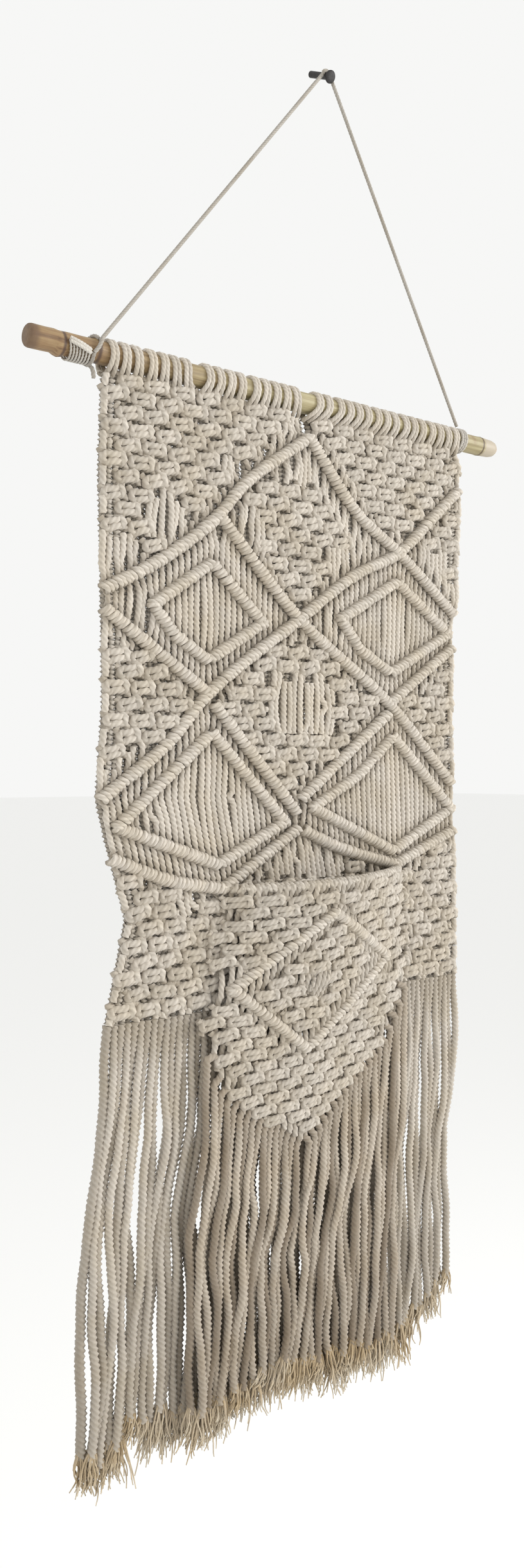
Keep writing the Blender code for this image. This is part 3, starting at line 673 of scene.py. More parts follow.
# Gaps between cords, in millimetres: across, down, width, height.
GAPS = in_metres(
    (160, 15, 13, 8), (152, 207, 4.6, 34), (136, 208, 4.2, 18), (160.5, 207, 4.2, 26),
    (151, 306, 4.2, 30), (129, 35, 7, 6), (116, 44, 6, 6), (104.5, 52.5, 6, 5.5), (136, 53, 4.5, 8),
    (82.5, 206.5, 7, 4.5), (67, 332, 4.5, 11), (203.5, 90, 4.5, 18), (103.5, 94, 4.5, 20),
    (12, 147, 4.5, 8),
)
# Narrow slits that only the front cords bow round, in millimetres: across, down, width, height.
SLITS = in_metres(
    (19.5, 150, 5, 22), (29, 153, 5, 20), (26, 283, 3.6, 12), (34.5, 283, 3.6, 16), (211.5, 93, 4, 19),
    (219, 95, 3.4, 15), (174, 146, 3.4, 12), (183, 145, 4, 15), (189.5, 148, 5, 14), (110, 95, 3.6, 20),
    (148, 43, 4.6, 12), (231, 144, 3, 30), (257, 142, 2.4, 28), (40, 98, 3.6, 22), (48, 94, 3.6, 20),
    (85, 97, 5, 8), (169, 208, 3.6, 24), (144, 208, 3, 26), (176, 208, 3.4, 20), (70, 150, 2.4, 30),
    (70, 262, 2.4, 40), (95.5, 270, 2.6, 30),
)
# Turning points of the ridges, in millimetres: across, down. A to D are the four inner diamonds.
RIDGE_POINTS = {
    "crown": (162, 24), "left brow": (105, 64.5), "left shoulder": (85, 86.5),
    "left elbow": (60, 106.5), "left arm": (30, 125.5), "left hem 1": (-0.4, 141),
    "left hem 2": (-0.4, 153.5), "left hem 3": (-2.6, 266.5), "left hem 4": (4.5, 303.2),
    "right brow": (207, 70), "right shoulder": (248, 93), "right slope": (205, 113),
    "right arm": (286, 61), "right hem 1": (311.2, 39.5), "right hem 2": (306, 132.5),
    "right hem 3": (303.5, 158.5), "right hem 4": (303.5, 259), "right hem 5": (305, 294.5),
    "heart": (153, 148), "left cross": (76.5, 201), "left cross low": (81.5, 208),
    "left waist": (45, 233), "right cross": (238, 202), "right cross low": (236, 210),
    "foot left": (150, 277.5), "foot right": (155, 268.5), "foot low left": (151, 289),
    "foot low right": (157, 290), "left base": (88.5, 325.5), "left base bend": (48, 318.5),
    "right base": (244, 317), "right base bend": (186, 302), "A left": (34, 148), "A top": (79, 117.5),
    "A right": (121, 153), "A low": (76, 180), "A bend": (49, 165), "B left": (191, 145),
    "B top": (246, 114), "B right": (300, 148), "B low": (240, 180), "B bend": (209, 165),
    "C left": (8, 284), "C top": (79, 225.5), "C right": (140, 284), "C low": (84, 310),
    "D left": (165, 275), "D top": (242, 225), "D right": (303, 278), "D low": (242, 307.5),
    "D bend": (208, 253),
}
OUTER_RIDGES = (
    "crown, left brow, left shoulder, left elbow, left arm, left hem 1",
    "crown, right brow, right shoulder, right hem 2",
    "right hem 1, right arm, right shoulder, right slope, heart, left cross, left waist, left hem 3",
    "left shoulder, heart, right cross, right hem 4", "left hem 2, left cross", "right hem 3, right cross",
    "left cross low, foot left", "right cross low, foot right", "left hem 4, left base bend, left base",
    "foot low left, left base", "foot low right, right base bend, right base", "right hem 5, right base",
)
INNER_RIDGES = (
    "A left, A top, A right", "A right, A low, A bend, A left", "B left, B top, B right",
    "B right, B low, B bend, B left", "C left, C top, C right", "C right, C low, C left",
    "D left, D bend, D top, D right", "D right, D low, D left",
)
# The leaves between the outer ridges, where no square knots are tied.
LEAVES = (
    "left hem 1, left arm, left elbow, left shoulder, heart, left cross, left hem 2",
    "heart, right slope, right shoulder, right hem 2, right hem 3, right cross",
    "left hem 3, left waist, left cross low, foot left, foot low left, left base, left base bend, left hem 4",
    "foot right, right cross low, right hem 4, right hem 5, right base, right base bend, foot low right",
)
# Other bare strands, in millimetres: first and last across, upper and lower down.
BARE_PATCHES = in_metres(
    (133, 180, 190, 226), (90, 120, 84, 108), (200, 226, 78, 103), (145, 176, 35, 56),
    (30, 60, 84, 108), (6, 24, 112, 129), (184, 200, 96, 113), (262, 298, 86, 110),
    (128, 150, 308, 322), (159, 190, 308, 324),
)


def through(names):
    """The line through the ridge points of these names."""
    return [Vector(point) for point in in_metres(*[RIDGE_POINTS[name] for name in names.split(", ")])]


def run_at(before, middle, after, run):
    """A line's direction at a point: one for both runs at a shallow bend, the run's own at a sharp one."""
    if (middle - before).angle(after - middle) < SHARP_BEND:
        return ((middle - before).normalized() + (after - middle).normalized()).normalized() * run.length
    return run


def rounded(line, steps=7):
    """A line through the same points with its shallow bends eased."""
    ends = [line[0] * 2 - line[1]] + line + [line[-1] * 2 - line[-2]]
    eased = []
    for before, start, end, after in zip(ends, ends[1:], ends[2:], ends[3:]):
        leaving = run_at(before, start, end, end - start)
        arriving = run_at(start, end, after, end - start)
        for share in shares(steps)[:-1]:
            square = share * share
            cube = square * share
            spot = start * (2 * cube - 3 * square + 1) + leaving * (cube - 2 * square + share)
            eased.append(spot + end * (3 * square - 2 * cube) + arriving * (cube - square))
    return eased + [line[-1]]


outer_lines = [rounded(through(names)) for names in OUTER_RIDGES]
inner_lines = [through(names) for names in INNER_RIDGES]
diamonds = [upper + lower[1:-1] for upper, lower in zip(inner_lines[::2], inner_lines[1::2])]
ridge_lines = outer_lines + inner_lines
leaf_outlines = [through(names) for names in LEAVES]


def nearest_on(spot, lines):
    """The distance from a spot to the nearest of some lines, and that line's direction and point there."""
    nearest = (1.0, None, None)
    for line in lines:
        for start, end in zip(line, line[1:]):
            run = end - start
            share = min(max((spot - start).dot(run) / run.length_squared, 0.0), 1.0)
            foot = start + run * share
            distance = (spot - foot).length
            if distance < nearest[0]:
                nearest = (distance, run.normalized(), foot)
    return nearest


def inside(spot, outline):
    """True inside a closed outline of points."""
    within = False
    for start, end in zip(outline, outline[1:] + outline[:1]):
        if (start.y > spot.y) != (end.y > spot.y):
            if spot.x < start.x + (end.x - start.x) * (spot.y - start.y) / (end.y - start.y):
                within = not within
    return within


def in_leaf(spot):
    return any(inside(spot, outline) for outline in leaf_outlines)


def in_patch(spot, margin):
    for first, last, upper, lower in BARE_PATCHES:
        if first - margin < spot.x < last + margin and upper - margin < spot.y < lower + margin:
            return True
    return False


def parted(across, down, gaps, reach_past):
    """Where a cord lies once it has parted round some gaps."""
    for gap_across, gap_down, width, height in gaps:
        reach = 0.5 * height + reach_past
        if abs(down - gap_down) < reach:
            bow = math.cos(0.5 * math.pi * (down - gap_down) / reach) ** 0.8
            away = across - gap_across
            across += math.copysign(0.5 * width * math.exp(-abs(away) / 0.010) * bow, away)
    return across


def slanted(spot):
    """How far a cord is drawn sideways as it comes square to the outer ridges beside it."""
    if any(inside(spot, diamond) for diamond in diamonds):
        return 0.0
    drawn = 0.0
    for number, line in enumerate(outer_lines):
        distance, along, foot = nearest_on(spot, [line])
        square_on = 1.0 - min(abs((spot - foot).dot(along)) / max(distance, 0.0001), 1.0)
        rise = -along.y if along.x > 0 else along.y
        above = 1.0 if spot.y < foot.y else -1.0
        share = CROWN_SLANT if number < 2 else SLANT
        drawn -= rise * above * share * distance * math.exp(-distance / SLANT_REACH) * square_on
    return drawn


def ridge_band(spot):
    """How far from the ridges the knots start: farther off beside the two that fall from the crown."""
    if nearest_on(spot, outer_lines[:2])[0] < CROWN_BAND and spot.y < CROWN_FOOT:
        return CROWN_BAND
    return BAND


# Square knots stand in rows, and alternate rows are set off by half a knot.
KNOT_CORDS = 4
ROW_STEP = 0.0098
KNOT_TOP = 0.0135
KNOT_FOOT = 0.3990
KNOT_CORD = 0.00260
# Where a spot counts as off every knot's share of the cloth: just outside it, and far from all of them.
OFF_KNOT = 1.04
FAR_OFF = 9.0


def cloth_pitch(down):
    """The width that the four cords of a knot take up."""
    return KNOT_CORDS * (cloth_across(1.0, down) - cloth_across(0.0, down))


def clear_of_gaps(spot):
    for gap_across, gap_down, width, height in GAPS:
        if abs(spot.x - gap_across) < 0.5 * width + 0.0055 and abs(spot.y - gap_down) < 0.5 * height + 0.003:
            return False
    return True


def rows_between(top, foot, step):
    """The number of each row of knots, and how far down it lies."""
    rows = []
    while top < foot:
        rows.append((len(rows), top))
        top += step
    return rows


knot_spots = []
for row, down in rows_between(KNOT_TOP, KNOT_FOOT, ROW_STEP):
    for cord in range(KNOT_CORDS - 2 * (row % 2), CORD_COUNT - 1, KNOT_CORDS):
        spot = Vector((cloth_across(cord, down), down))
        bare = in_leaf(spot) or in_patch(spot, 0.002)
        if nearest_on(spot, ridge_lines)[0] > ridge_band(spot) and not bare and clear_of_gaps(spot):
            knot_spots.append(spot)


def off_knots(spot, spots, width, height):
    """How far outside the nearest knot's share of the cloth a spot lies; 1 is on the border of its share."""
    least = FAR_OFF
    for knot in spots:
        if abs(spot.y - knot.y) < 2 * height and abs(spot.x - knot.x) < width:
            least = min(least, 2 * abs(spot.x - knot.x) / width + abs(spot.y - knot.y) / height)
    return least


def beside_knot(spot):
    """The distance from a spot to the nearest hole beside a knot."""
    least = 1.0
    for knot in knot_spots:
        if abs(spot.y - knot.y) < 0.006:
            half = 0.5 * cloth_pitch(knot.y)
            aside = abs(abs(spot.x - knot.x) - half)
            least = min(least, math.hypot(aside, spot.y - knot.y))
    return least


# The cords at the back part less than those in front. They are drawn thick and painted dark, so that most
# holes show painted shade and not an opening.
DEEP_GAPS = [(across, down, 0.4 * width, height) for across, down, width, height in GAPS]
DEEP_CORD = 0.93 * RUN_CORD
DEEP_SIZE = 1.34


def knot_cover(spot, down):
    """How far a spot on the panel lies outside the knots that would cover it."""
    if in_leaf(spot) or in_patch(spot, 0.0):
        return FAR_OFF
    return off_knots(spot, knot_spots, cloth_pitch(down), ROW_STEP)


def front_point(cord, spot, down, off, phase, forward):
    """A point of a cord in front, which dips at the ridges and knots and is painted darker beside the ridges,
    as shade.
    """
    distance = nearest_on(spot, ridge_lines)[0]
    across = parted(parted(spot.x, down, GAPS, GAP_REACH), down, SLITS, SLIT_REACH)
    across += slanted(spot) + 0.0003 * math.sin(phase + 70.0 * down)
    # Outside the leaves, the cords leave a ridge in pairs.
    if not in_leaf(spot):
        pull = smooth_step(distance, 0.002, 0.006) * (1.0 - smooth_step(distance, 0.008, 0.014))
        across += (PAIR_PULL if cord % 2 == 0 else -PAIR_PULL) * pull
    dip = RIDGE_DIP * (1.0 - smooth_step(distance, 0.0010, 0.0045))
    under = KNOT_DIP * (1.0 - smooth_step(off, OFF_KNOT, 1.4))
    slim = mix(0.76, 0.94, smooth_step(distance, 0.006, 0.012))
    lift = mix(0.62, 1.0, smooth_step(distance, 0.004, 0.009))
    return place(across, down, FRONT_OUT + forward - dip - under), slim, lift


def back_point(cord, spot, down, off):
    """A point of a cord behind, deeper and painted darker at the holes beside the knots, and drawn in at the
    hem.
    """
    from_hem = min(cord, CORD_COUNT - 1 - cord)
    hole = 0.0 if off == FAR_OFF else 1.0 - smooth_step(beside_knot(spot), 0.0020, 0.0050)
    hole *= smooth_step(from_hem, 0.5, 2.5)
    beside_hem = 1.0 if from_hem in (1, 2) else 0.0
    across = parted(spot.x, down, DEEP_GAPS, GAP_REACH)
    if from_hem == 0:
        across += HEM_PULL if cord == 0 else -HEM_PULL
    out = HEM_LIFT * beside_hem - BACK_IN - HOLE_DIP * hole
    # Painted shade: dark all along and darkest at the holes; painted light beside the hem, where the cord is
    # raised.
    return place(across, down, out), DEEP_SIZE, mix(0.78, 0.18, hole) + 0.16 * beside_hem


shown_runs = []
hidden_runs = []
for cord in range(CORD_COUNT):
    phase = chance.uniform(0.0, math.tau)
    forward = chance.uniform(-0.0003, 0.0003)
    shown_route = []
    hidden_route = []
    for share in shares(round((CLOTH_FOOT - CLOTH_TOP) / RUN_STEP)):
        down = mix(CLOTH_TOP, CLOTH_FOOT, share)
        spot = Vector((cloth_across(cord + 0.5, down), down))
        off = knot_cover(spot, down)
        # In front a cord breaks off where a knot covers it, and behind it runs on.
        if off > OFF_KNOT:
            shown_route.append(front_point(cord, spot, down, off, phase, forward))
        elif shown_route:
            shown_runs.append(shown_route)
            shown_route = []
        hidden_route.append(back_point(cord, spot, down, off))
    shown_runs.append(shown_route)
    hidden_runs.append(hidden_route)
shown_runs = [route for route in shown_runs if len(route) > 1]
cloth_ropes("running_cords", "knotted_panel", shown_runs, RUN_CORD, 0.0014, depth=0.24)
cloth_ropes("deep_cords", "knotted_panel", hidden_runs, DEEP_CORD, 0.0030, depth=0.10)


# Square knots: each ties two cords round two others. One cord crosses the front twice, and the other passes
# behind and stands out as an upright bump on the right. Rows alternate by half a knot, which leaves a small
# hole on each side of every knot.
def and_back(half):
    """A route whose second half is the first one upside down, in the other order."""
    return half + [(right, -up, out) for right, up, out in half[-2::-1]]


# Routes for a knot of this width and height, in millimetres from its middle: right, up, out.
ROUTE_WIDTH = 0.0200
ROUTE_HEIGHT = 0.0098
FRONT_HALF = [
    (8.1, 6.4, 0.6), (8.2, 4.9, 1.2), (7.4, 3.4, 1.4), (5.2, 2.4, 1.8), (2.6, 1.9, 3.0),
    (0.0, 1.9, 3.3), (-2.6, 2.1, 2.8), (-4.8, 2.7, 1.8), (-6.9, 2.2, 2.3), (-7.9, 0.0, 2.4),
]
BACK_HALF = [
    (-8.1, 6.4, 0.6), (-8.1, 5.2, 1.0), (-6.4, 4.0, 0.4), (-3.6, 2.0, -1.2), (0.0, 1.3, -3.0),
    (2.6, 2.3, -0.6), (4.4, 3.2, 2.0), (5.6, 2.0, 3.6), (5.9, 0.0, 4.1),
]


def tie_knot(middle, width, height, surface, base_out):
    """The two working cords of a square knot at a place on the cloth."""
    turn = math.radians(chance.uniform(4.0, 20.0))
    wide = width / ROUTE_WIDTH * chance.uniform(0.96, 1.10)
    tall = height / ROUTE_HEIGHT * chance.uniform(0.88, 1.08)
    shift = Vector((chance.uniform(-0.0006, 0.0006), chance.uniform(-0.0005, 0.0005)))
    plump = chance.uniform(0.75, 1.20)
    bulk = chance.uniform(0.95, 1.06)
    routes = []
    for cord in (and_back(FRONT_HALF), and_back(BACK_HALF)):
        route = []
        for right, up, out in cord:
            x = right * wide * math.cos(turn) - up * tall * math.sin(turn)
            y = right * wide * math.sin(turn) + up * tall * math.cos(turn)
            across = middle.x + shift.x + 0.001 * x
            down = middle.y + shift.y - 0.001 * y
            # Painted shade: the farther back a point of the knot lies, the darker it is painted.
            lift = min(max(0.50 + 0.12 * out, 0.0), 1.0)
            route.append((surface(across, down, base_out + 0.001 * out * plump), bulk, lift))
        routes.append(route)
    return routes


UPPER_KNOTS_END = 0.13
LOWER_KNOTS_START = 0.29
knots = {"upper_square_knots": [], "middle_square_knots": [], "lower_square_knots": []}
for spot in knot_spots:
    band = "upper_square_knots" if spot.y < UPPER_KNOTS_END else "middle_square_knots"
    band = "lower_square_knots" if spot.y > LOWER_KNOTS_START else band
    knots[band] += tie_knot(spot, cloth_pitch(spot.y), ROW_STEP, place, 0.0004)
for name, routes in knots.items():
    cloth_ropes(name, "knotted_panel", routes, KNOT_CORD, 0.0018)


# Ridges: double half hitches. Every running cord takes two turns round a cord that is led across the cloth,
# so the led cord is hidden under a row of close slanting turns.
TURN_PITCH = 0.0031
TURN_RADIUS = 0.0028
TURN_CORD = 0.00185
TURN_LAY = -0.0140
RIDGE_OUT = 0.0040
LED_CORD = 0.0022
TURN_LEAN = 0.0013


def ridge_turns(line, surface, out, radius=TURN_RADIUS):
    """The close turns of the cords round one led cord, and the led cord itself."""
    lengths = [(b - a).length for a, b in zip(line, line[1:])]
    count = max(2, round(sum(lengths) / TURN_PITCH))
    routes = []
    led = []
    for number in range(count + 1):
        reach = sum(lengths) * number / count
        for start, end, length in zip(line, line[1:], lengths):
            if reach <= length + 1e-9:
                break
            reach -= length
        along = (end - start).normalized()
        spot = start + along * min(reach, length)
        side = Vector((along.y, -along.x))
        # The led cord, hidden under the turns, is painted dark with shade.
        led.append((surface(spot.x, spot.y, out), 1.0, 0.2))
        wobble = chance.uniform(-0.0005, 0.0005)
        swell = chance.uniform(0.90, 1.12)
        lean = math.copysign(TURN_LEAN, along.x * along.y)
        route = []
        for turn in range(7):
            angle = math.radians(-40.0 + turn * 260.0 / 6)
            across = side * (radius * swell * math.cos(angle)) + along * (lean * math.cos(angle) + wobble)
            height = radius * swell * math.sin(angle)
            # Painted shade: each turn is painted darker on its underside.
            lift = min(max(0.50 + 0.65 * math.sin(angle), 0.0), 1.0)
            route.append((surface(spot.x + across.x, spot.y + across.y, out + height), 1.0, lift))
        routes.append(route)
    return routes, led


ridge_routes = []
led_cords = []
for line in ridge_lines:
    routes, led = ridge_turns(line, place, RIDGE_OUT)
    ridge_routes += routes
    led_cords.append(led)
cloth_ropes("hitched_ridges", "knotted_panel", ridge_routes, TURN_CORD, 0.0020, lay=TURN_LAY, depth=0.12)
cloth_ropes("led_cords", "knotted_panel", led_cords, LED_CORD, 0.0030)


# Pocket: a second panel of 36 cords in square knots, sewn to the first at its sides. Its open top stands out
# 25 mm and is bound with a row of turns, it has one diamond of ridges round a few bare strands, and it ends
# in a V.
POCKET_CORDS = 36
POCKET_WIDTH = 0.165
POCKET_HEIGHT = 0.155
POCKET_THICKNESS = 0.0070
POCKET_BULGE = 0.0250
POCKET_FALL = 1.2
POCKET_SEAT = 0.0048
POCKET_LOW_LIFT = 0.0032
POCKET_KNOT_WIDTH = 0.0200
POCKET_CORD = 0.0023
POCKET_ROW_STEP = 0.0076
POCKET_ROW_KNOTS = 11
POCKET_BAND = 0.0064
POCKET_KNOTS_LEFT = 0.0640
POCKET_KNOTS_FOOT = 0.4950
POCKET_TOP_LEFT = Vector((0.0915, 0.3245))
POCKET_TOP_RIGHT = Vector((0.2455, 0.3185))
# The pocket's V-shaped lower edge, in millimetres: across, down.
POCKET_EDGE = in_metres(
    (73.3, 414.7), (77, 438.6), (85.3, 451.8), (98.5, 466.3), (111.7, 475.7), (130, 484), (148, 496),
    (168.8, 478.2), (188.4, 461.2), (205.6, 449.3), (221.5, 437.3), (235.3, 413.4), (242.5, 396.5),
)
POCKET_DIAMOND = ((0.1609, 0.3434), (0.2240, 0.3790), (0.1465, 0.4336), (0.0891, 0.3895))
# Bare strands in the diamond, in millimetres: foot across and down, head across and down.
POCKET_STRANDS = in_metres(
    (144.5, 396, 149.5, 384), (148.5, 397.5, 154, 382), (152.5, 397, 158, 380.5),
    (157, 395, 161.5, 380),
)


def pocket_spot(u, v):
    """Across and down of a place on the pocket, u from side to side and v from its top to its lower edge."""
    top = POCKET_TOP_LEFT.lerp(POCKET_TOP_RIGHT, u)
    low_across = mix(POCKET_EDGE[0][0], POCKET_EDGE[-1][0], u)
    return top.lerp(Vector((low_across, interpolate(POCKET_EDGE, low_across))), v)


def pocket_share(across, down):
    """The u and v of a place on the pocket, found by closing in on it."""
    u = 0.5
    v = 0.5
    for _ in range(9):
        here = pocket_spot(u, v)
        u = min(max(u + (across - here.x) / POCKET_WIDTH, -0.03), 1.03)
        v = min(max(v + (down - here.y) / POCKET_HEIGHT, -0.06), 1.06)
    return u, v


def pocket_place(across, down, out=0.0):
    """A place on the pocket, out in front of the middle of its cloth."""
    u, v = pocket_share(across, down)
    belly = math.sin(math.pi * min(max(u, 0.0), 1.0)) ** 0.8 * (1 - min(max(v, 0.0), 1.0)) ** POCKET_FALL
    lift = POCKET_LOW_LIFT * smooth_step(v, 0.35, 0.85) - 0.0030 * smooth_step(abs(u - 0.5), 0.44, 0.51)
    return place(across, down, POCKET_SEAT + 0.5 * POCKET_THICKNESS + POCKET_BULGE * belly + lift + out)


pocket_corners = [Vector(corner) for corner in POCKET_DIAMOND]
pocket_lines = [list(ends) for ends in zip(pocket_corners, pocket_corners[1:] + pocket_corners[:1])]
pocket_spots = []
for row, down in rows_between(POCKET_TOP_RIGHT.y + 0.0075, POCKET_KNOTS_FOOT, POCKET_ROW_STEP):
    for number in range(POCKET_ROW_KNOTS):
        across = POCKET_KNOTS_LEFT + POCKET_KNOT_WIDTH * (number + 0.5 * (row % 2))
        spot = Vector((across, down))
        u, v = pocket_share(across, down)
        clear = -0.02 < u < 1.02 and 0.035 < v < 0.985 and nearest_on(spot, pocket_lines)[0] > POCKET_BAND
        for foot_across, foot_down, head_across, head_down in POCKET_STRANDS:
            if foot_across - 0.002 < across < head_across + 0.002 and head_down < down < foot_down:
                clear = False
        if clear:
            pocket_spots.append(spot)

pocket_runs = []
for cord in range(POCKET_CORDS):
    route = []
    for v in shares(40):
        spot = pocket_spot((cord + 0.5) / POCKET_CORDS, v)
        off = off_knots(spot, pocket_spots, POCKET_KNOT_WIDTH, POCKET_ROW_STEP)
        shown = smooth_step(off, 0.95, 1.25)
        dip = 0.0020 * (1.0 - smooth_step(nearest_on(spot, pocket_lines)[0], 0.001, 0.004))
        out = mix(-0.0012, 0.0012, shown) - dip
        # Painted shade: a cord is painted darker where it runs under the knots.
        route.append((pocket_place(spot.x, spot.y, out), 0.98, mix(0.40, 0.8, shown)))
    pocket_runs.append(route)
for foot_across, foot_down, head_across, head_down in POCKET_STRANDS:
    route = []
    for share in shares(5):
        across = mix(foot_across, head_across, share)
        out = 0.0012 + 0.0020 * math.sin(math.pi * share)
        # The bare strands take a little painted shade.
        route.append((pocket_place(across, mix(foot_down, head_down, share), out), 0.95, 0.75))
    pocket_runs.append(route)
cloth_ropes("pocket_running_cords", "pocket_panel", pocket_runs, POCKET_CORD, 0.0024)

pocket_knots = []
for spot in pocket_spots:
    pocket_knots += tie_knot(spot, POCKET_KNOT_WIDTH, POCKET_ROW_STEP, pocket_place, -0.0004)
cloth_ropes("pocket_square_knots", "pocket_panel", pocket_knots, POCKET_CORD, 0.0018)
pocket_ridges = [(line, 0.0014, 0.0026) for line in pocket_lines]
pocket_ridges.append(([pocket_spot(u, 0.012) for u in shares(20)], -0.0006, 0.0019))
pocket_ridge_routes = []
for line, out, radius in pocket_ridges:
    routes, led = ridge_turns(line, pocket_place, out, radius)
    pocket_ridge_routes += routes + [led]
cloth_ropes("pocket_ridges", "pocket_panel", pocket_ridge_routes, TURN_CORD, 0.0020, lay=TURN_LAY, depth=0.12)


# Panel fringe: the 64 cords hang free below the last knots. They lean to the left as they fall, wave in
# groups, part in a few places and end in a brush of loose yarn.
FRINGE_TOP = 0.4030
FRINGE_CORD = 0.0031
FRINGE_LAY = -0.0100
FRAY_LAY = 0.0100
FRAY_YARNS = 26
FRAY_CORD = 0.00088
FRAY_START = 0.005
END_ABOVE = 0.013
END_SPREAD = 0.011
LAYER_OUT = 0.0012
# How far the strands lean: share of the way down, lean on the left, lean on the right.
FRINGE_LEAN = (
    (0.0, 0.0, 0.0), (0.3, -0.0060, 0.0), (0.5, -0.0130, -0.0080), (0.8, -0.0160, -0.0080),
    (1.0, -0.0200, -0.0100),
)
# The ends of the strands, in millimetres: across, down.
FRINGE_ENDS = in_metres(
    (0, 669), (20, 680), (34, 666), (80, 672), (128, 664), (146, 658), (180, 666), (250, 674),
    (280, 666), (295, 656), (312, 642),
)
# Places where the hanging cords part, in millimetres: across, down, width, height.
FRINGE_GAPS = in_metres(
    (27, 482, 5, 90), (98, 560, 3, 50), (176, 590, 3, 50), (258, 500, 4, 70),
)
# The third colour is painted shade.
frayed_colors = (0.66, 0.58, 0.45), (0.56, 0.445, 0.285), (0.29, 0.195, 0.09)
frayed_cotton = cotton_finish("frayed_cotton", *frayed_colors, 0.10)


def fringe_line(root, end, share, lean_share):
    """Across and down of a strand without its own waves."""
    lean = between_columns(FRINGE_LEAN, share, lean_share)
    return Vector((mix(root.x, end.x, share) + lean, mix(root.y, end.y, share)))


def drawn_aside(root, end, lean_share):
    """For each gap that a strand hangs beside, how far the strand is drawn away from it."""
    drawn = []
    for gap_across, gap_down, width, height in FRINGE_GAPS:
        share = min(max((gap_down - root.y) / (end.y - root.y), 0.0), 1.0)
        away = fringe_line(root, end, share, lean_share).x - gap_across
        pull = math.copysign(0.5 * width * math.exp(-abs(away) / 0.008), away)
        drawn.append((gap_down, 0.5 * height + 0.025, pull))
    return drawn


def hanging_strand(root, root_out, end, out, number, lean_share, lift, bulk=1.0):
    """One free cord from its root to the start of its frayed end."""
    own = [chance.uniform(0.0, math.tau) for _ in range(3)]
    wide = chance.uniform(0.0003, 0.0012)
    drawn = drawn_aside(root, end, lean_share)
    route = []
    for share in shares(44):
        spot = fringe_line(root, end, share, lean_share)
        loose = smooth_step(share, 0.0, 0.30)
        sway = 0.0020 * math.sin(0.50 * number + 8.0 * share) + 0.0010 * math.sin(1.9 * number + 13.0 * share)
        sway += wide * math.sin(own[0] + 9.0 * share) + 0.0004 * math.sin(own[1] + 34.0 * share)
        front = 0.0014 * math.sin(1.3 * number + 7.0 * share) + 0.0009 * math.sin(own[2] + 17.0 * share)
        across = spot.x + sway * loose
        for gap_down, reach, pull in drawn:
            if abs(spot.y - gap_down) < reach:
                across += pull * math.cos(0.5 * math.pi * (spot.y - gap_down) / reach) ** 2
        depth = mix(root_out, out, smooth_step(share, 0.0, 0.12)) + front * loose
        # Painted shade: a strand is painted darker at its root, and darker towards its end, which stands
        # partly for shade and partly for browner cotton near the fray.
        shown = mix(0.55, lift, min(7 * share, 1.0)) * mix(1.0, 0.66, smooth_step(share, 0.25, 1.0))
        route.append((place(across, spot.y, depth), mix(0.94, 1.04, share) * bulk, shown))
    return route


def frayed_end(route):
    """The loose yarns that fan out from the end of a strand."""
    tip = route[-1][0]
    fall = (tip - route[-3][0]).normalized()
    side = fall.cross(Vector((0.0, 1.0, 0.0))).normalized()
    front = side.cross(fall)
    full = chance.uniform(0.55, 1.40)
    bent = chance.uniform(-0.0040, 0.0040)
    yarns = []
    for _ in range(FRAY_YARNS):
        turn = chance.uniform(0.0, math.tau)
        spread = chance.uniform(0.03, 0.42)
        length = chance.uniform(0.015, 0.030) * full
        away = side * math.cos(turn) + front * (0.6 * math.sin(turn))
        start = chance.uniform(0.0010, 0.0022)
        curl = chance.uniform(0.0010, 0.0026)
        bend = chance.uniform(0.0, math.tau)
        yarn = []
        for share in shares(8):
            fan = away * (length * spread * share**0.7 + start * (1 - share)) + side * (bent * share**2)
            wave = side * math.sin(bend + 8.0 * share) + front * math.cos(bend + 7.0 * share)
            drop = fall * (length * share * (1 - 0.15 * share))
            spot = tip - fall * FRAY_START + drop + fan + wave * (curl * share)
            # Painted shade: the yarns are painted darker where they leave the strand in a bunch.
            yarn.append((spot, mix(1.15, 0.55, share), mix(0.45, 1.0, share)))
        yarns.append(yarn)
    return yarns


def hang_fringe(node, cords, tips, finish):
    """The cords of a fringe and their frayed ends, in the place of its node."""
    cloth_ropes(node + "_cords", node, cords, FRINGE_CORD, 0.0014, FRINGE_LAY, finish, depth=0.32)
    cloth_ropes(node + "_tips", node, tips, FRAY_CORD, 0.0028, FRAY_LAY, frayed_cotton, lobe_points=1)


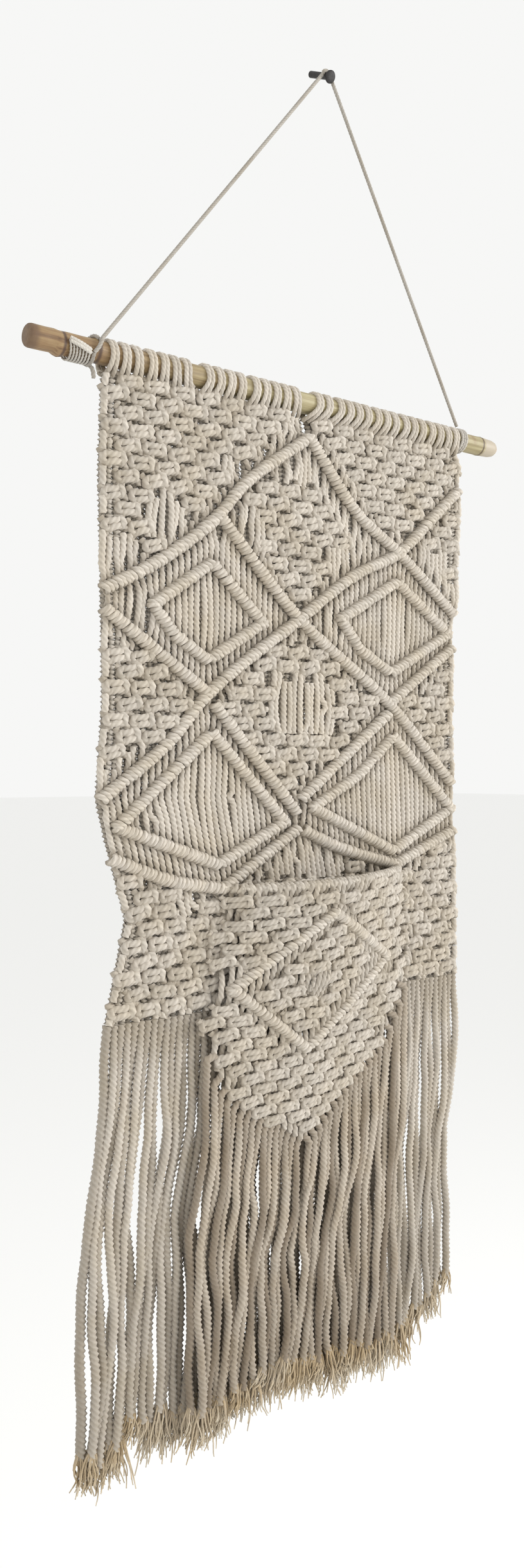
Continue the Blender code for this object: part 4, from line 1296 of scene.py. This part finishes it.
fringe = []
fringe_tips = []
for number in range(CORD_COUNT):
    across = cloth_across(number + 0.5, FRINGE_TOP)
    end_down = interpolate(FRINGE_ENDS, across) - END_ABOVE - END_SPREAD * chance.random()
    end = Vector((across, end_down))
    out = LAYER_OUT if number % 2 else -LAYER_OUT
    share = (number + 0.5) / CORD_COUNT
    # Painted shade: the strands of the back layer are painted darker, and those behind the pocket's fringe
    # darker still, as the pocket's painted shadow.
    pocket_shadow = smooth_step(across, 0.050, 0.090) * (1.0 - smooth_step(across, 0.230, 0.260))
    lift = (0.92 if number % 2 else 0.70) - 0.52 * pocket_shadow
    bulk = 1.0 if number % 2 else 1.12
    root = Vector((across, FRINGE_TOP))
    strand = hanging_strand(root, 0.0004, end, out, number, share, lift, bulk)
    fringe.append(strand)
    fringe_tips += frayed_end(strand)
hang_fringe("panel_fringe", fringe, fringe_tips, cotton)


# Pocket fringe: the pocket's 36 cords leave its V-shaped edge square to it, bend down and hang in front of
# the panel's own fringe.
POCKET_FRINGE_OUT = 0.0122
POCKET_END_ABOVE = 0.018
POCKET_END_SPREAD = 0.006


def edge_below(across, distance):
    """A place at a distance under the pocket's lower edge, square to it."""
    start = max(across - 0.002, POCKET_EDGE[0][0])
    end = min(across + 0.002, POCKET_EDGE[-1][0])
    slope = (interpolate(POCKET_EDGE, end) - interpolate(POCKET_EDGE, start)) / (end - start)
    normal = Vector((-slope, 1)).normalized()
    return Vector((across, interpolate(POCKET_EDGE, across))) + normal * distance


pocket_fringe = []
pocket_tips = []
first = POCKET_EDGE[0][0]
last = POCKET_EDGE[-1][0]
for number in range(POCKET_CORDS):
    share = (number + 0.5) / POCKET_CORDS
    across = mix(first, last, share)
    out = POCKET_FRINGE_OUT + (0.0010 if number % 2 else -0.0014)
    # Painted shade: every third strand takes much more of the painted shade colour.
    lift = 0.86 if number % 3 else 0.36
    end_down = interpolate(FRINGE_ENDS, across) - POCKET_END_ABOVE - POCKET_END_SPREAD * chance.random()
    end = Vector((mix(first - 0.004, last + 0.004, share), end_down))
    bend = edge_below(across, 0.0060)
    strand = hanging_strand(bend, POCKET_FRINGE_OUT, end, out, number, 0.3 + 0.4 * share, lift)
    root = edge_below(across, -0.0010)
    # The root under the pocket's edge is painted half in shade.
    strand.insert(0, (place(root.x, root.y, POCKET_FRINGE_OUT - 0.0010), 0.9, 0.5))
    pocket_fringe.append(strand)
    pocket_tips += frayed_end(strand)
# The pocket's fringe is a darker, browner copy of the cotton, as painted shade.
shaded_colors = (0.63, 0.56, 0.465), (0.565, 0.485, 0.38), (0.15, 0.11, 0.07)
shaded_cotton = cotton_finish("shaded_cotton_rope", *shaded_colors, 0.40)
hang_fringe("pocket_fringe", pocket_fringe, pocket_tips, shaded_cotton)
